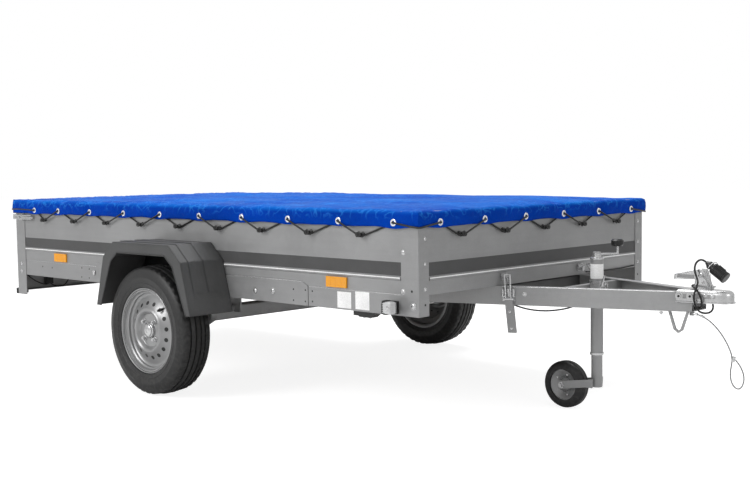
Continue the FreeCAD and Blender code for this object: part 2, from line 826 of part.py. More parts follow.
def make_wheels():
    for side, hand in SIDES:
        middle = f"{hand} * {WHEEL}"

        def at(out, up):
            return (f"{middle} + {hand} * ({out})", up)

        tyre = [
            at("-(rim_half - fit_gap)", "bead_radius + fit_gap"),
            at("-(rim_half - fit_gap)", "rim_flange + fit_gap"),
            at("-tyre_half", "(rim_flange + tyre_radius) / 2"),
            at("-tyre_half + shoulder_in", "tyre_radius - shoulder_drop"),
            at("-tread_half", "tyre_radius - tread_drop"),
            at("0", "tyre_radius"),
            at("tread_half", "tyre_radius - tread_drop"),
            at("tyre_half - shoulder_in", "tyre_radius - shoulder_drop"),
            at("tyre_half", "(rim_flange + tyre_radius) / 2"),
            at("rim_half - fit_gap", "rim_flange + fit_gap"),
            at("rim_half - fit_gap", "bead_radius + fit_gap"),
        ]
        spin(f"tyre_{side}", "YZ", tyre, "H_Axis", raised="tyre_radius")
        rim = [
            at("rim_half + rim_thick", "rim_flange"),
            at("rim_half", "rim_flange"),
            at("rim_half", "bead_radius"),
            at("well_out + well_slope", "bead_radius - rim_thick"),
            at("well_out", "rim_well"),
            at("-well_in", "rim_well"),
            at("-well_in - well_slope", "bead_radius - rim_thick"),
            at("-rim_half", "bead_radius"),
            at("-rim_half", "rim_flange"),
            at("-rim_half - rim_thick", "rim_flange"),
            at("-rim_half - rim_thick", "bead_radius - rim_thick"),
            at("-well_in - well_slope - rim_thick", "bead_radius - 2 * rim_thick"),
            at("-well_in - rim_thick", "rim_well - rim_thick"),
            at("disc_edge - 2 * rim_thick", "rim_well - rim_thick"),
            at("disc_offset - vent_deep - rim_thick", "vent_circle + vent_band"),
            at("disc_offset - vent_deep - rim_thick", "vent_circle - vent_band"),
            at("disc_offset - rim_thick", "hat_radius"),
            at("disc_offset - rim_thick", "hat_radius - hat_band"),
            at("disc_offset - dish_deep", "dish_radius"),
            at("disc_offset - dish_deep", "hub_bore"),
            at("disc_offset - dish_deep + rim_thick", "hub_bore"),
            at("disc_offset - dish_deep + rim_thick", "dish_radius - rim_thick / 4"),
            at("disc_offset", "hat_radius - hat_band - rim_thick / 4"),
            at("disc_offset", "hat_radius + rim_thick / 4"),
            at("disc_offset - vent_deep", "vent_circle - vent_band + rim_thick / 4"),
            at("disc_offset - vent_deep", "vent_circle + vent_band"),
            at("disc_edge", "rim_well - rim_thick"),
            at("well_out + rim_thick", "rim_well - rim_thick"),
            at("well_out + well_slope + rim_thick", "bead_radius - 2 * rim_thick"),
            at("rim_half + rim_thick", "bead_radius - rim_thick"),
        ]
        wheel = spin(f"rim_{side}", "YZ", rim, "H_Axis", raised="tyre_radius")
        doc.recompute()
        near = WHEEL if hand > 0 else f"-({WHEEL} + disc_offset)"
        vent = pocket(wheel, "XZ", (), near, "disc_offset", [("0", "vent_circle", "vent_radius")])
        ring = wheel.newObject("PartDesign::PolarPattern", f"rim_{side}_vents")
        ring.Originals = [vent]
        ring.Axis = (vent.Profile[0], ["N_Axis"])
        ring.Angle = 360.0
        ring.setExpression("Occurrences", bind("vent_count"))
        wheel.Tip = ring
        seat = "disc_offset - dish_deep"
        hub = [
            at("-hub_behind", "stub_radius + pin_gap"),
            at("-hub_behind", "hub_barrel"),
            at(f"{seat} - hub_flange", "hub_barrel"),
            at(f"{seat} - hub_flange", "hub_radius"),
            at(f"{seat} - fit_gap", "hub_radius"),
            at(f"{seat} - fit_gap", "hub_bore - hub_cap_seat / 2"),
            at("disc_offset + hub_cap_seat", "hub_cap"),
            at("disc_offset + hub_cap_out", "hub_cap_nose"),
            at("disc_offset + hub_cap_out", "0"),
            at("disc_offset + hub_cap_seat", "0"),
            at("disc_offset + hub_cap_seat", "stub_radius + pin_gap"),
        ]
        spin(f"hub_{side}", "YZ", hub, "H_Axis", raised="tyre_radius")


def make_axle():
    """Square axle tube bolted under the beams, with a trailing arm and stub at each end."""
    half = size.tube_size / 2
    ahead = (size.tube_ahead - half, size.tube_ahead + half)
    level = (size.tube_height - half, size.tube_height + half)
    tube_half = size.box_half - size.tube_in
    span = (-tube_half, tube_half)
    wall_in = size.tube_wall
    pipe = block(ahead, span, level)
    pipe = pipe.makeFillet(size.tube_round, [edge for edge in pipe.Edges if edge.Length > tube_half])
    inside = (level[0] + wall_in, level[1] - wall_in)
    hollow = block((ahead[0] + wall_in, ahead[1] - wall_in), (span[0] - 1, span[1] + 1), inside)
    seat = size.beam_low - size.fit_gap
    reach = (size.tube_ahead - size.bracket_half, size.tube_ahead + size.bracket_half)
    pieces = []
    for hand in (-1, 1):
        middle = hand * (BEAM_Y - size.beam_flange / 2)
        wide = size.bracket_thick / 2
        web = block(reach, (middle - wide, middle + wide), (level[1] - half, seat))
        sole_half = size.beam_flange / 2
        sole = block(reach, (middle - sole_half, middle + sole_half), (seat - size.bracket_thick, seat))
        pieces += [web, sole]
    cast("axle_beam", pipe.fuse(pieces).removeSplitter().cut(hollow))
    wheel_height = size.tyre_radius
    for side, hand in SIDES:
        near = hand * (tube_half + size.fit_gap)
        far = near + hand * size.arm_thick
        start = Vector(size.tube_ahead, near, size.tube_height)
        end = Vector(0, near, wheel_height)
        along = end - start
        lift = Vector(along.z, 0, -along.x).normalize()
        big = lift * size.arm_radius
        small = lift * size.arm_boss
        arm = Part.makeCylinder(size.arm_radius, size.arm_thick, start, Vector(0, hand, 0))
        boss = Part.makeCylinder(size.arm_boss, size.arm_thick, end, Vector(0, hand, 0))
        corners = [start + big, end + small, end - small, start - big]
        face = Part.Face(Part.makePolygon(corners + corners[:1]))
        web = face.extrude(Vector(0, hand * size.arm_thick, 0))
        collar_end = hand * (WHEEL_Y - size.collar_short)
        collar = round_bar(size.collar_radius, (0, far, wheel_height), (0, collar_end, wheel_height))
        tip = hand * (WHEEL_Y + size.disc_offset + size.hub_cap_seat / 2)
        stub = round_bar(size.stub_radius, (0, far, wheel_height), (0, tip, wheel_height))
        cast(f"swing_arm_{side}", arm.fuse([boss, web, collar, stub]).removeSplitter())


# Drawbar
def beam_line(inset, hand):
    """Plan line of a drawbar beam, moved in from its outer face: nose, bend and tail."""
    across = f"({inset})"
    tip = f"(nose_half - {across} / cos(draw_angle))"
    level = f"({SPREAD} - {across})"
    bend = f"{NOSE} - ({level} - {tip}) / tan(draw_angle)"
    return [(NOSE, f"{hand} * {tip}"), (bend, f"{hand} * {level}"), ("-beam_behind", f"{hand} * {level}")]


def beam_half(x, inset=0):
    """Half the drawbar's width at x, moved in from its outer face."""
    slope = math.radians(size.draw_angle)
    wide = size.nose_half + (NOSE_X - x) * math.tan(slope) - inset / math.cos(slope)
    return min(wide, BEAM_Y - inset)


def add_nose_fittings(beam):
    """Cable gland, rope lug and wire loop welded to the beam's lower flange at the nose."""
    doc.recompute()
    gland = ("-gland_side", "beam_low + beam_thick + gland_radius - gland_sink", "gland_radius")
    sketch = draw(beam, "YZ", (), [gland], f"{NOSE} + 2 * gland_sink - gland_long")
    feature(beam, "Pad", sketch, Length="gland_long")
    weld = "beam_low + beam_thick / 3"
    lug = rectangle(f"{NOSE} - lug_long", NOSE, "beam_low - lug_deep", weld)
    sketch = draw(beam, "XZ", [lug], (), "rope_side - lug_half")
    feature(beam, "Pad", sketch, Length="2 * lug_half")
    rear = f"{NOSE} - loop_rear"
    front = f"{NOSE} - loop_front"
    middle = f"{NOSE} - (loop_rear + loop_front) / 2"
    half = "loop_wire / 2"
    loop = [
        (f"{rear} - {half}", weld),
        (f"{middle} - loop_foot - {half}", "loop_low + loop_wire"),
        (middle, f"loop_low - {half}"),
        (f"{middle} + loop_foot + {half}", "loop_low + loop_wire"),
        (f"{front} + {half}", weld),
        (f"{front} - {half}", weld),
        (f"{middle} + loop_foot - {half}", f"loop_low + loop_wire + {half}"),
        (middle, f"loop_low + {half}"),
        (f"{middle} - loop_foot + {half}", f"loop_low + loop_wire + {half}"),
        (f"{rear} + {half}", weld),
    ]
    sketch = draw(beam, "XZ", [loop], (), f"loop_side - {half}")
    feature(beam, "Pad", sketch, Length="loop_wire")


def make_drawbar():
    for side, hand in SIDES:
        strip = beam_line("0", hand) + beam_line("beam_flange", hand)[::-1]
        beam = prism(f"drawbar_beam_{side}", "XY", [strip], "beam_low", "beam_high")
        doc.recompute()
        inside = beam_line("beam_thick", hand) + beam_line("beam_flange + moving_gap", hand)[::-1]
        pocket(beam, "XY", [inside], "beam_low + beam_thick", "beam_high - 2 * beam_thick")
        if side == "right":
            add_nose_fittings(beam)
    inside = size.beam_thick + size.fit_gap
    level = (size.beam_low + inside, size.beam_low + size.beam_high - inside)
    thick = size.cross_thick
    front = JOCKEY_X - size.jockey_radius - size.fit_gap
    tail = size.cross_width - size.cross_behind
    pieces = []
    for ahead in ((front - size.cross_depth, front), (-size.cross_behind, tail)):
        half = beam_half(ahead[1], size.beam_thick) - thick / 3
        outer = block(ahead, (-half, half), level)
        run = (ahead[0] - 1, ahead[1] - thick)
        hollow = block(run, (-half - 1, half + 1), (level[0] + thick, level[1] - thick))
        pieces.append(outer.cut(hollow))
    cast("drawbar_crossmembers", Part.makeCompound(pieces))


def make_tilt_hinge():
    """Ears under the floor turning on pins beside knuckle plates on the beams' tails."""
    x = -size.tilt_behind
    z = size.tilt_height
    knuckle = size.tilt_knuckle
    sole_span = (x - size.tilt_sole_behind, x + size.tilt_sole_ahead)
    sole_inset = size.tilt_sole_inset
    sole_level = (size.beam_low + sole_inset, size.beam_low + size.beam_high - sole_inset)
    ear_span = (x - size.tilt_ear_half, x + size.tilt_ear_half)
    plates = []
    ears = []
    for hand in (-1, 1):
        near = hand * (BEAM_Y + size.fit_gap)
        far = near + hand * size.tilt_plate
        hole = round_bar(size.tilt_pin + size.pin_gap, (x, near - hand, z), (x, far + hand, z))
        crown = round_bar(knuckle, (x, near, z), (x, far, z))
        neck = block((x - knuckle, x + knuckle), (near, far), (z - size.tilt_neck, z))
        sole = block(sole_span, (near, far), sole_level)
        plates.append(crown.fuse([neck, sole]).removeSplitter().cut(hole))
        inner = far + hand * size.tilt_gap
        outer = inner + hand * size.tilt_plate
        ear = block(ear_span, (inner, outer), (z - size.tilt_ear_drop, size.floor_low - size.fit_gap))
        pin = round_bar(size.tilt_pin, (x, near, z), (x, outer, z))
        ears.append(ear.fuse(pin).removeSplitter())
    cast("tilt_plates", Part.makeCompound(plates))
    cast("tilt_ears", Part.makeCompound(ears))


def make_tilt_latches():
    """Levers on the beams whose bows reach up round catches on the front panel."""
    face = size.box_ahead - size.post_thick + size.fit_gap
    ahead = size.box_ahead + size.latch_reach
    wire = size.bow_wire
    over = size.beam_low + size.beam_high + size.fit_gap
    foot = size.lever_foot
    head = size.lever_head
    catches = []
    for side, hand in SIDES:
        middle = hand * (beam_half(ahead) - size.latch_in)
        low = size.catch_low
        catch_span = (middle - size.bow_half, middle + size.bow_half)
        plate = block((face, face + wire), catch_span, (low, low + size.catch_high))
        pins = (middle - size.bow_half / 2, middle + size.bow_half / 2)
        nose = block((face, ahead - wire), pins, (low, low + size.catch_high / 2))
        catches.append(plate.fuse(nose).removeSplitter())
        outer = hand * (beam_half(ahead) + size.fit_gap)
        plate_end = ahead + size.latch_plate
        near = outer + hand * 2 * wire
        base = block((ahead, plate_end), (outer, near), (head - 2 * wire, over + wire))
        slope = hand * size.lever_wide / 8
        lever_in = near - hand * wire
        lever_out = lever_in + hand * size.lever_wide
        lever_outline = [(lever_in, head), (lever_out, head)]
        lever_outline += [(lever_out - slope, foot), (lever_in + slope, foot)]
        lever = cut_plate(lever_outline, ahead + wire / 2, 2 * wire, "x")
        wall = hand * size.lever_wall
        inside = [(lever_in + wall, head - 2 * wire), (lever_out - wall, head - 2 * wire)]
        inside += [(lever_out - wall - slope, foot - 1), (lever_in + wall + slope, foot - 1)]
        lever = lever.cut(cut_plate(inside, ahead + wire, 2 * wire, "x"))
        bow_span = (middle - size.bow_half, middle + size.bow_half)
        bow = block((ahead, ahead + wire), bow_span, (over, size.bow_top))
        gap_span = (bow_span[0] + wire, bow_span[1] - wire)
        bow = bow.cut(block((ahead - 1, ahead + wire + 1), gap_span, (over + wire, size.bow_top - wire)))
        link = block((ahead, ahead + wire), (middle, near), (over, over + wire))
        cast(f"tilt_latch_{side}", base.fuse([lever, bow, link]).removeSplitter())
    cast("tilt_catches", Part.makeCompound(catches))


def make_coupling():
    """Pressed ball coupling whose flared sides clasp the beams, with its cup and rim."""
    low = size.coupling_low
    top = size.coupling_top
    nose = NOSE_X + size.socket_reach
    radius = size.nose_radius
    rear = NOSE_X - size.coupling_back
    gap = size.fit_gap
    out = gap + size.coupling_side
    lip = size.coupling_lip

    def plan(extra, back):
        half = [(back, beam_half(back) + extra), (NOSE_X, size.nose_half + extra)]
        half.append((nose, radius - out + extra))
        return half + [(x, -y) for x, y in reversed(half)]

    shell = cut_plate(plan(out, rear), low, top - low, "z")
    shell = shell.fuse(upright(radius, nose, 0, low, top)).removeSplitter()
    crown = [edge for edge in shell.Edges if edge.BoundBox.ZMin > top - 0.1]
    edges = [edge for edge in crown if edge.BoundBox.XMax > rear + 1]
    shell = shell.makeFillet(size.coupling_round, edges)
    rim = cut_plate(plan(out + lip, rear + size.coupling_run), low, lip, "z")
    rim = rim.fuse(upright(radius + lip, nose, 0, low, low + lip))
    shell = shell.fuse(rim)
    shell = shell.cut(cut_plate(plan(gap, rear - 1), low - 1, top - low + 1 - size.coupling_wall, "z"))
    shell = shell.fuse(upright(radius - 1, nose, 0, low, top - size.coupling_wall + 1))
    ball_height = top - size.ball_radius - size.coupling_wall
    bore = size.ball_radius + gap
    cup = Part.makeSphere(bore, Vector(nose, 0, ball_height))
    throat = upright(bore, nose, 0, low - 1, ball_height)
    corner = [(rear - 1, low - 1), (rear + size.coupling_run, low - 1), (rear - 1, low + size.coupling_rise)]
    wide = 2 * beam_half(rear)
    shell = shell.cut([cup, throat, cut_plate(corner, -wide, 2 * wide, "y")])
    cast("coupling_head", shell.removeSplitter())


def make_handle():
    """Handle of the coupling: a bar of open section pivoting in upright cheeks."""
    top = size.coupling_top + size.fit_gap
    half = size.handle_half
    ahead = NOSE_X + size.handle_reach
    centre = size.handle_height
    radius = size.handle_radius
    droop = size.handle_droop
    rear = ahead - size.handle_long
    foot = ahead + 2 * radius
    bar_low = centre - radius
    column = [(ahead - radius - droop, top), (foot, top), (ahead + radius, centre), (ahead - radius, centre)]
    cheeks = cut_plate(column, -half, 2 * half, "y")
    crown = round_bar(radius, (ahead, -half, centre), (ahead, half, centre))
    bar = [(rear + droop / 2, centre - droop), (ahead, centre + radius)]
    bar += [(ahead, bar_low + droop / 2), (rear, bar_low - droop)]
    handle = cheeks.fuse([crown, cut_plate(bar, -half, 2 * half, "y")]).removeSplitter()
    inner = half - size.wall_thick
    slot = [(rear - 1, bar_low - 2 * droop), (ahead - radius, bar_low - droop)]
    slot += [(ahead - radius, centre + radius / 2), (rear - 1, centre - 2 * droop)]
    window_low = centre - droop / 2
    window = round_bar(radius / 2, (ahead, -half - 1, window_low), (ahead, half + 1, window_low))
    handle = handle.cut([cut_plate(slot, -inner, 2 * inner, "y"), window])
    tab_top = top + size.tab_high
    wedge = [(foot, top), (foot + size.tab_long, tab_top - droop), (foot + size.tab_long, tab_top)]
    wedge += [(foot - radius / 2, tab_top), (foot - radius / 2, top)]
    tab = cut_plate(wedge, -size.wall_thick, 2 * size.wall_thick, "y")
    cast("coupling_handle", handle.fuse(tab).removeSplitter())


# Points of the plug's cable, ahead of the drawbar's nose, after it leaves its gland: down the
# near side, once round the coupling and up to the plug
CABLE_ROUTE = [
    (19, -36, 438),
    (35, -50, 447),
    (42, -61, 468),
    (33, -61, 490),
    (17, -51, 507),
    (-5, -34, 512),
    (-26, -8, 513),
    (-34, 24, 513),
    (-30, 60, 511),
    (-19, 78, 492),
    (-3, 76, 466),
    (17, 68, 446),
    (29, 48, 428),
    (31, 22, 418),
    (25, -4, 417),
    (21, -30, 423),
    (21, -52, 435),
    (18, -65, 455),
    (15, -69, 477),
    (17, -66, 499),
    (22, -58, 518),
    (20, -48, 534),
    (9, -37, 547),
    (-4, -27, 566),
    (-7, -22, 584),
    (-2, -20, 598),
    (9.5, -20, 607.5),
    (24.3, -20, 608.9),
]

# Points of the breakaway rope, ahead of the drawbar's nose, from its lug to the end of the
# eye at its tip
ROPE_ROUTE = [
    (18, -39, 416),
    (43, -36, 406),
    (68, -31, 388),
    (90, -25, 363),
    (108, -18, 334),
    (121, -11, 304),
    (129, -5, 275),
    (126, -1, 246),
    (119, 1, 215),
    (122, 2, 185),
    (136, 2, 163),
    (155, 2, 160),
    (169, 1, 180),
    (172, 0, 207),
    (164, -1, 232),
    (152, -2, 251),
    (141, -3, 263),
]


def from_nose(points):
    """Points of a route as places on the trailer."""
    return [(NOSE_X + x, y, z) for x, y, z in points]


def make_cords():
    """Plug with its cable from the gland, and the breakaway rope from its lug."""
    exit_height = size.beam_low + size.beam_thick + size.gland_radius - size.gland_sink
    exit_point = (NOSE_X + 2 * size.gland_sink, -size.gland_side, exit_height)
    drop = math.radians(size.plug_drop)
    aim = Vector(math.cos(drop), 0, -math.sin(drop))
    rear = Vector(NOSE_X + size.plug_reach, -size.plug_side, size.plug_height)
    neck = rear + aim * size.plug_neck_long
    body = round_bar(size.plug_radius, neck, rear + aim * size.plug_long)
    cast("plug", body.fuse(round_bar(size.plug_neck, rear, neck)).removeSplitter())
    cast("plug_cable", tube([exit_point, *from_nose(CABLE_ROUTE), tuple(rear)], size.cable_radius))
    lug_point = (NOSE_X, -size.rope_side, size.beam_low - size.lug_deep / 2)
    cast("breakaway_rope", tube([lug_point, *from_nose(ROPE_ROUTE)], size.rope_radius))


# Jockey wheel
def make_jockey():
    """Jockey wheel: outer tube and crank on the drawbar, sliding leg, fork and wheel."""
    x = JOCKEY_X
    low = size.jockey_low
    top = size.jockey_top
    housing = upright(size.jockey_radius, x, 0, low, top)
    housing = housing.cut(upright(size.leg_radius + size.fit_gap, x, 0, low, top - size.jockey_lid))
    cap = upright(size.cap_radius, x, 0, top, size.cap_top)
    cast("jockey_housing", housing.fuse(cap).removeSplitter())
    centre = Vector(x, 0, size.crank_height)
    aim = math.radians(size.crank_turn)
    out = Vector(math.cos(aim), math.sin(aim), 0)
    start = centre + out * (size.cap_radius + size.fit_gap)
    elbow = centre + out * size.crank_reach
    arm = round_bar(size.crank_radius, start, elbow)
    bend = Part.makeSphere(size.crank_radius, elbow)
    rise = Part.makeCylinder(size.crank_radius, size.crank_rise, elbow)
    cast("crank_arm", arm.fuse([bend, rise]).removeSplitter())
    base = elbow + Vector(0, 0, size.crank_rise + size.fit_gap)
    knob = Part.makeCylinder(size.knob_radius, size.knob_high, base)
    cast("crank_knob", knob.makeChamfer(size.knob_chamfer, knob.Edges))
    nut_low = size.leg_top + size.fit_gap
    nut_top = nut_low + size.nut_high
    nut = upright(size.leg_radius, x, 0, nut_low, nut_top)
    cast("spindle_nut", nut.cut(upright(size.spindle_radius, x, 0, nut_low, nut_top)))
    leg = upright(size.leg_radius, x, 0, size.leg_low, size.leg_top)
    pipe = upright(size.leg_radius - size.leg_wall, x, 0, size.leg_low + size.leg_floor, size.leg_top + 1)
    hub_x = x - size.jockey_trail
    hub_z = size.jockey_wheel_radius
    half_high = size.fork_high / 2
    level = (hub_z - half_high, hub_z + half_high)
    half = size.fork_half
    inner = half - size.fork_thick
    front = x + size.yoke_ahead
    fork = [block((x - size.yoke_behind, x), (-half, half), level)]
    fork[0] = fork[0].cut(block((x - size.yoke_behind - 1, front - size.yoke_web), (-inner, inner), level))
    fork.append(block((front - size.yoke_web, front), (-half, half), level))
    for hand in (-1, 1):
        span = (hand * inner, hand * half)
        fork.append(block((hub_x, x - size.yoke_behind + 1), span, level))
        fork.append(round_bar(half_high, (hub_x, span[0], hub_z), (hub_x, span[1], hub_z)))
    fork.append(round_bar(size.jockey_bore - size.pin_gap, (hub_x, -half, hub_z), (hub_x, half, hub_z)))
    cast("jockey_leg", leg.fuse(fork).removeSplitter().cut(pipe))

    def wheel_disc(radius, reach):
        return round_bar(radius, (hub_x, -reach, hub_z), (hub_x, reach, hub_z))

    wide = size.jockey_wheel_half
    tyre = wheel_disc(size.jockey_wheel_radius, wide)
    tyre = tyre.makeChamfer(size.jockey_shoulder, tyre.Edges)
    cast("jockey_tyre", tyre.cut(wheel_disc(size.jockey_rim_radius + size.fit_gap, wide)))
    reach = wide - size.jockey_rim_in
    rim = wheel_disc(size.jockey_rim_radius, reach)
    for hand in (-1, 1):
        deep = Vector(hub_x, hand * (reach - size.dish_cut), hub_z)
        dish = Part.makeCone(size.dish_inner, size.dish_outer, size.dish_cut, deep, Vector(0, hand, 0))
        rim = rim.cut(dish)
    boss = wheel_disc(size.jockey_boss, inner - size.fit_gap)
    cast("jockey_rim", rim.fuse(boss).removeSplitter().cut(wheel_disc(size.jockey_bore, wide + half)))


# Tarpaulin
def side_eyelets():
    """Places of the eyelets along one side skirt."""
    rear = -size.box_behind
    front = size.box_ahead - size.eyelet_front
    return [rear + size.eyelet_first] + even(rear + size.eyelet_rear, front, size.hook_count)


def side_hooks():
    """Places of the lacing hooks along one side."""
    return even(-size.box_behind + size.hook_rear, size.box_ahead - size.hook_front, size.hook_count)


def cross_eyelets():
    """Places of the eyelets across the front and tail skirts."""
    reach = size.box_half - size.cross_eyelet_in
    return even(-reach, reach, size.cross_hook_count + 1)


def cross_hooks():
    """Places of the lacing hooks across the front."""
    reach = size.box_half - size.cross_hook_in
    return even(-reach, reach, size.cross_hook_count)


def make_tarp():
    low = size.wall_top + size.fit_gap
    top = low + size.tarp_thick
    thick = size.tarp_thick
    inner_y = size.box_half - size.post_thick + size.tarp_off
    inner_x = size.box_ahead + size.tarp_off
    rear = -size.box_behind - size.tarp_off
    edge = inner_y + thick
    level = (size.skirt_low, top)
    outer = block((rear, inner_x + thick), (-edge, edge), level)
    hollow = block((rear - 1, inner_x), (-inner_y, inner_y), (size.skirt_low - 1, low))
    height = size.eyelet_height
    hole = size.eyelet_hole
    holes = [round_bar(hole, (x, -edge - 1, height), (x, edge + 1, height)) for x in side_eyelets()]
    for y in cross_eyelets():
        holes.append(round_bar(hole, (inner_x - 1, y, height), (inner_x + thick + 1, y, height)))
    cast("tarp", outer.cut([hollow, *holes]))
    flap_rear = rear - size.fit_gap - thick
    tail = block((flap_rear, rear - size.fit_gap), (-edge, edge), level)
    holes = []
    for y in cross_eyelets():
        holes.append(round_bar(hole, (flap_rear - 1, y, height), (rear, y, height)))
    cast("tarp_tail", tail.cut(holes))


def strand(axis, depth, start, end):
    """A run of lacing cord, square in section, between two places of a plane across an axis."""
    half = size.lace_radius
    along = (Vector(*end) - Vector(*start)).normalize() * half
    across = Vector(-along.y, along.x)
    first = Vector(*start) - along
    last = Vector(*end) + along
    corners = (first + across, last + across, last - across, first - across)
    return cut_plate([(corner.x, corner.y) for corner in corners], depth - half, 2 * half, axis)


def lace(axis, hand, behind, front, eyelets, hooks):
    """Cord zigzagging between eyelets and hooks, passing through each eyelet as it goes."""
    eyelet = size.eyelet_height
    hook = size.hook_height - size.lace_drop
    half = size.lace_radius
    middle = len(hooks) // 2
    depths = []
    for step in range(len(hooks)):
        depths.append(front if step > middle else behind)
        depths.append(front if step < middle else behind)
    stops = []
    for before, low in zip(eyelets, hooks):
        stops += [(before, eyelet), (low, hook)]
    stops.append((eyelets[-1], eyelet))
    pieces = [strand(axis, hand * deep, *ends) for deep, ends in zip(depths, zip(stops, stops[1:]))]
    for (along, up), before, after in zip(stops, [front] + depths, depths + [front]):
        if before == after:
            continue
        deep = (hand * (behind - half), hand * (front + half))
        along_span = (along - half, along + half)
        up_span = (up - half, up + half)
        if axis == "y":
            pieces.append(block(along_span, deep, up_span))
        else:
            pieces.append(block(deep, along_span, up_span))
    return pieces


def make_lacing():
    """Hooks on the box, and the cord laced from them through the eyelets of the tarpaulin."""
    side_face = size.box_half - size.post_thick
    front_face = size.box_ahead - size.post_thick
    inner_y = side_face + size.tarp_off
    inner_x = size.box_ahead + size.tarp_off
    sink = size.lace_gap + size.lace_radius
    lift = size.tarp_thick + size.eyelet_lift + size.lace_radius
    out_x = inner_x + lift
    out_y = inner_y + lift
    level = size.eyelet_height
    height = size.hook_height
    cord = lace("x", 1, inner_x - sink, out_x, cross_eyelets(), cross_hooks())
    hooks = [hook(Vector(front_face, y, height), Vector(1, 0, 0), out_x - front_face) for y in cross_hooks()]
    for hand in (-1, 1):
        cord += lace("y", hand, inner_y - sink, out_y, side_eyelets(), side_hooks())
        cord.append(strand("y", hand * out_y, (side_eyelets()[-1], level), (out_x, level)))
        cord.append(strand("x", out_x, (hand * out_y, level), (hand * cross_eyelets()[-1], level)))
        tail = -size.box_behind - size.tarp_off
        cord.append(strand("y", hand * out_y, (side_eyelets()[0], level), (tail, level)))
        for x in side_hooks():
            foot = Vector(x, hand * side_face, height)
            hooks.append(hook(foot, Vector(0, hand, 0), out_y - side_face))
    cast("lacing_hooks", Part.makeCompound(hooks))
    cast("lacing_cord", cord[0].fuse(cord[1:]).removeSplitter())


def hook(foot, out, depth):
    """A stem from the wall with a round head at its end, just clear of the cord behind it."""
    neck = depth + size.lace_radius + size.lace_gap
    stem = Part.makeCylinder(size.hook_stem, neck - size.fit_gap, foot + out * size.fit_gap, out)
    head = Part.makeCylinder(size.hook_head, size.hook_head_thick, foot + out * neck, out)
    return stem.fuse(head).removeSplitter()


for make in (
    make_floor,
    make_sides,
    make_posts,
    make_front,
    make_bearers,
    make_tailgate,
    make_gate_hinges,
    make_rear_lamps,
    make_reflectors,
    make_markers,
    make_tail_latches,
    make_guards,
    make_wheels,
    make_axle,
    make_drawbar,
    make_tilt_hinge,
    make_tilt_latches,
    make_coupling,
    make_handle,
    make_cords,
    make_jockey,
    make_tarp,
    make_lacing,
):
    make()

doc.recompute()
failed = [item.Label for item in doc.Objects if {"Invalid", "Error"} & set(item.State)]
if failed:
    raise ValueError("not built: " + ", ".join(failed))
for item in subparts:
    if item.Shape.isNull() or not item.Shape.isValid() or not item.Shape.Solids:
        raise ValueError("no valid solid: " + item.Label)

os.makedirs("parts", exist_ok=True)
for item in subparts:
    item.Shape.exportStep(f"parts/{item.Label}.step")
print(len(subparts), "sub-parts written")
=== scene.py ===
"""Looks of a tilting utility trailer under a laced tarpaulin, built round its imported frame."""

import json
import math
from itertools import pairwise

import bmesh
import bpy
from mathutils import Matrix, Vector, noise


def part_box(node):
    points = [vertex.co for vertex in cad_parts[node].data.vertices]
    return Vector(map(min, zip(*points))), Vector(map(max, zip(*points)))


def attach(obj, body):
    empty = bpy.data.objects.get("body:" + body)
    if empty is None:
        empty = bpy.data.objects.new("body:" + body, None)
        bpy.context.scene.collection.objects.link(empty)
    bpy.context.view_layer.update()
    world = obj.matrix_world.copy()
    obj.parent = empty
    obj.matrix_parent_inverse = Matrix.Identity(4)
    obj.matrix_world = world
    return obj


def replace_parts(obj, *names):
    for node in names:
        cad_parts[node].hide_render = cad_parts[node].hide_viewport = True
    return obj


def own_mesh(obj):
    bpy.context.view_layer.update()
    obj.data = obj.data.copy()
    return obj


bl_info = {
    "name": "Utility Trailer",
    "version": (1, 0, 0),
    "blender": (4, 5, 0),
    "location": "3D View > Sidebar > Trailer",
    "description": "Dresses the trailer's frame with its finishes, tarpaulin, lacing, wheels and trim",
    "category": "Object",
}

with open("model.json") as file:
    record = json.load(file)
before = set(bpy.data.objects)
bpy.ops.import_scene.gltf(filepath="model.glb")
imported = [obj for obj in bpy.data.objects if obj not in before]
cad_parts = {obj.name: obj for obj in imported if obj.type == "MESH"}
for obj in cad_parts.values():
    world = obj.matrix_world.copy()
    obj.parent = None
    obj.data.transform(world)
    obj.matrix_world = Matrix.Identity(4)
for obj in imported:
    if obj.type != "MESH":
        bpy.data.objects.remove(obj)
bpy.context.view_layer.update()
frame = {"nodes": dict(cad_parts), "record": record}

# Places below are in metres from the ground under the middle of the axle: ahead, left, up
wheel_low, wheel_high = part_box("tyre_right")
AXLE_X = (wheel_low.x + wheel_high.x) / 2
SIDES = (("right", -1), ("left", 1))

# Walls of the box, as the frame has them
FRONT_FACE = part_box("front_panel")[1].x - AXLE_X - 0.004
SIDE_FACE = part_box("side_rail_left")[1].y
POST_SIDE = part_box("post_front_left")[1].y
POST_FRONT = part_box("post_front_left")[1].x - AXLE_X
POST_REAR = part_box("post_rear_left")[0].x - AXLE_X
WALL_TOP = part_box("side_panel_left")[1].z
TARP_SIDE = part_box("tarp")[1].y
TARP_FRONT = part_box("tarp")[1].x - AXLE_X
TARP_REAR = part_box("tarp")[0].x - AXLE_X
TARP_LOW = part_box("tarp")[0].z
WHEEL_SIDE = (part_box("tyre_left")[0].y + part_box("tyre_left")[1].y) / 2
WHEEL_UP = (wheel_low.z + wheel_high.z) / 2
TYRE_RADIUS = (wheel_high.z - wheel_low.z) / 2


def even(low, high, count):
    """Evenly spaced places from low to high."""
    return [low + (high - low) * step / (count - 1) for step in range(count)]


# Lacing, as the frame has it
HOOK_UP = 0.706
EYELET_UP = 0.752
HEM_UP = 0.737
SIDE_HOOKS = even(-1.125, 1.089, 9)
SIDE_EYELETS = [-1.214] + even(-0.99, 1.25, 9)
CROSS_HOOKS = even(-0.516, 0.516, 5)
CROSS_EYELETS = even(-0.6325, 0.6325, 6)

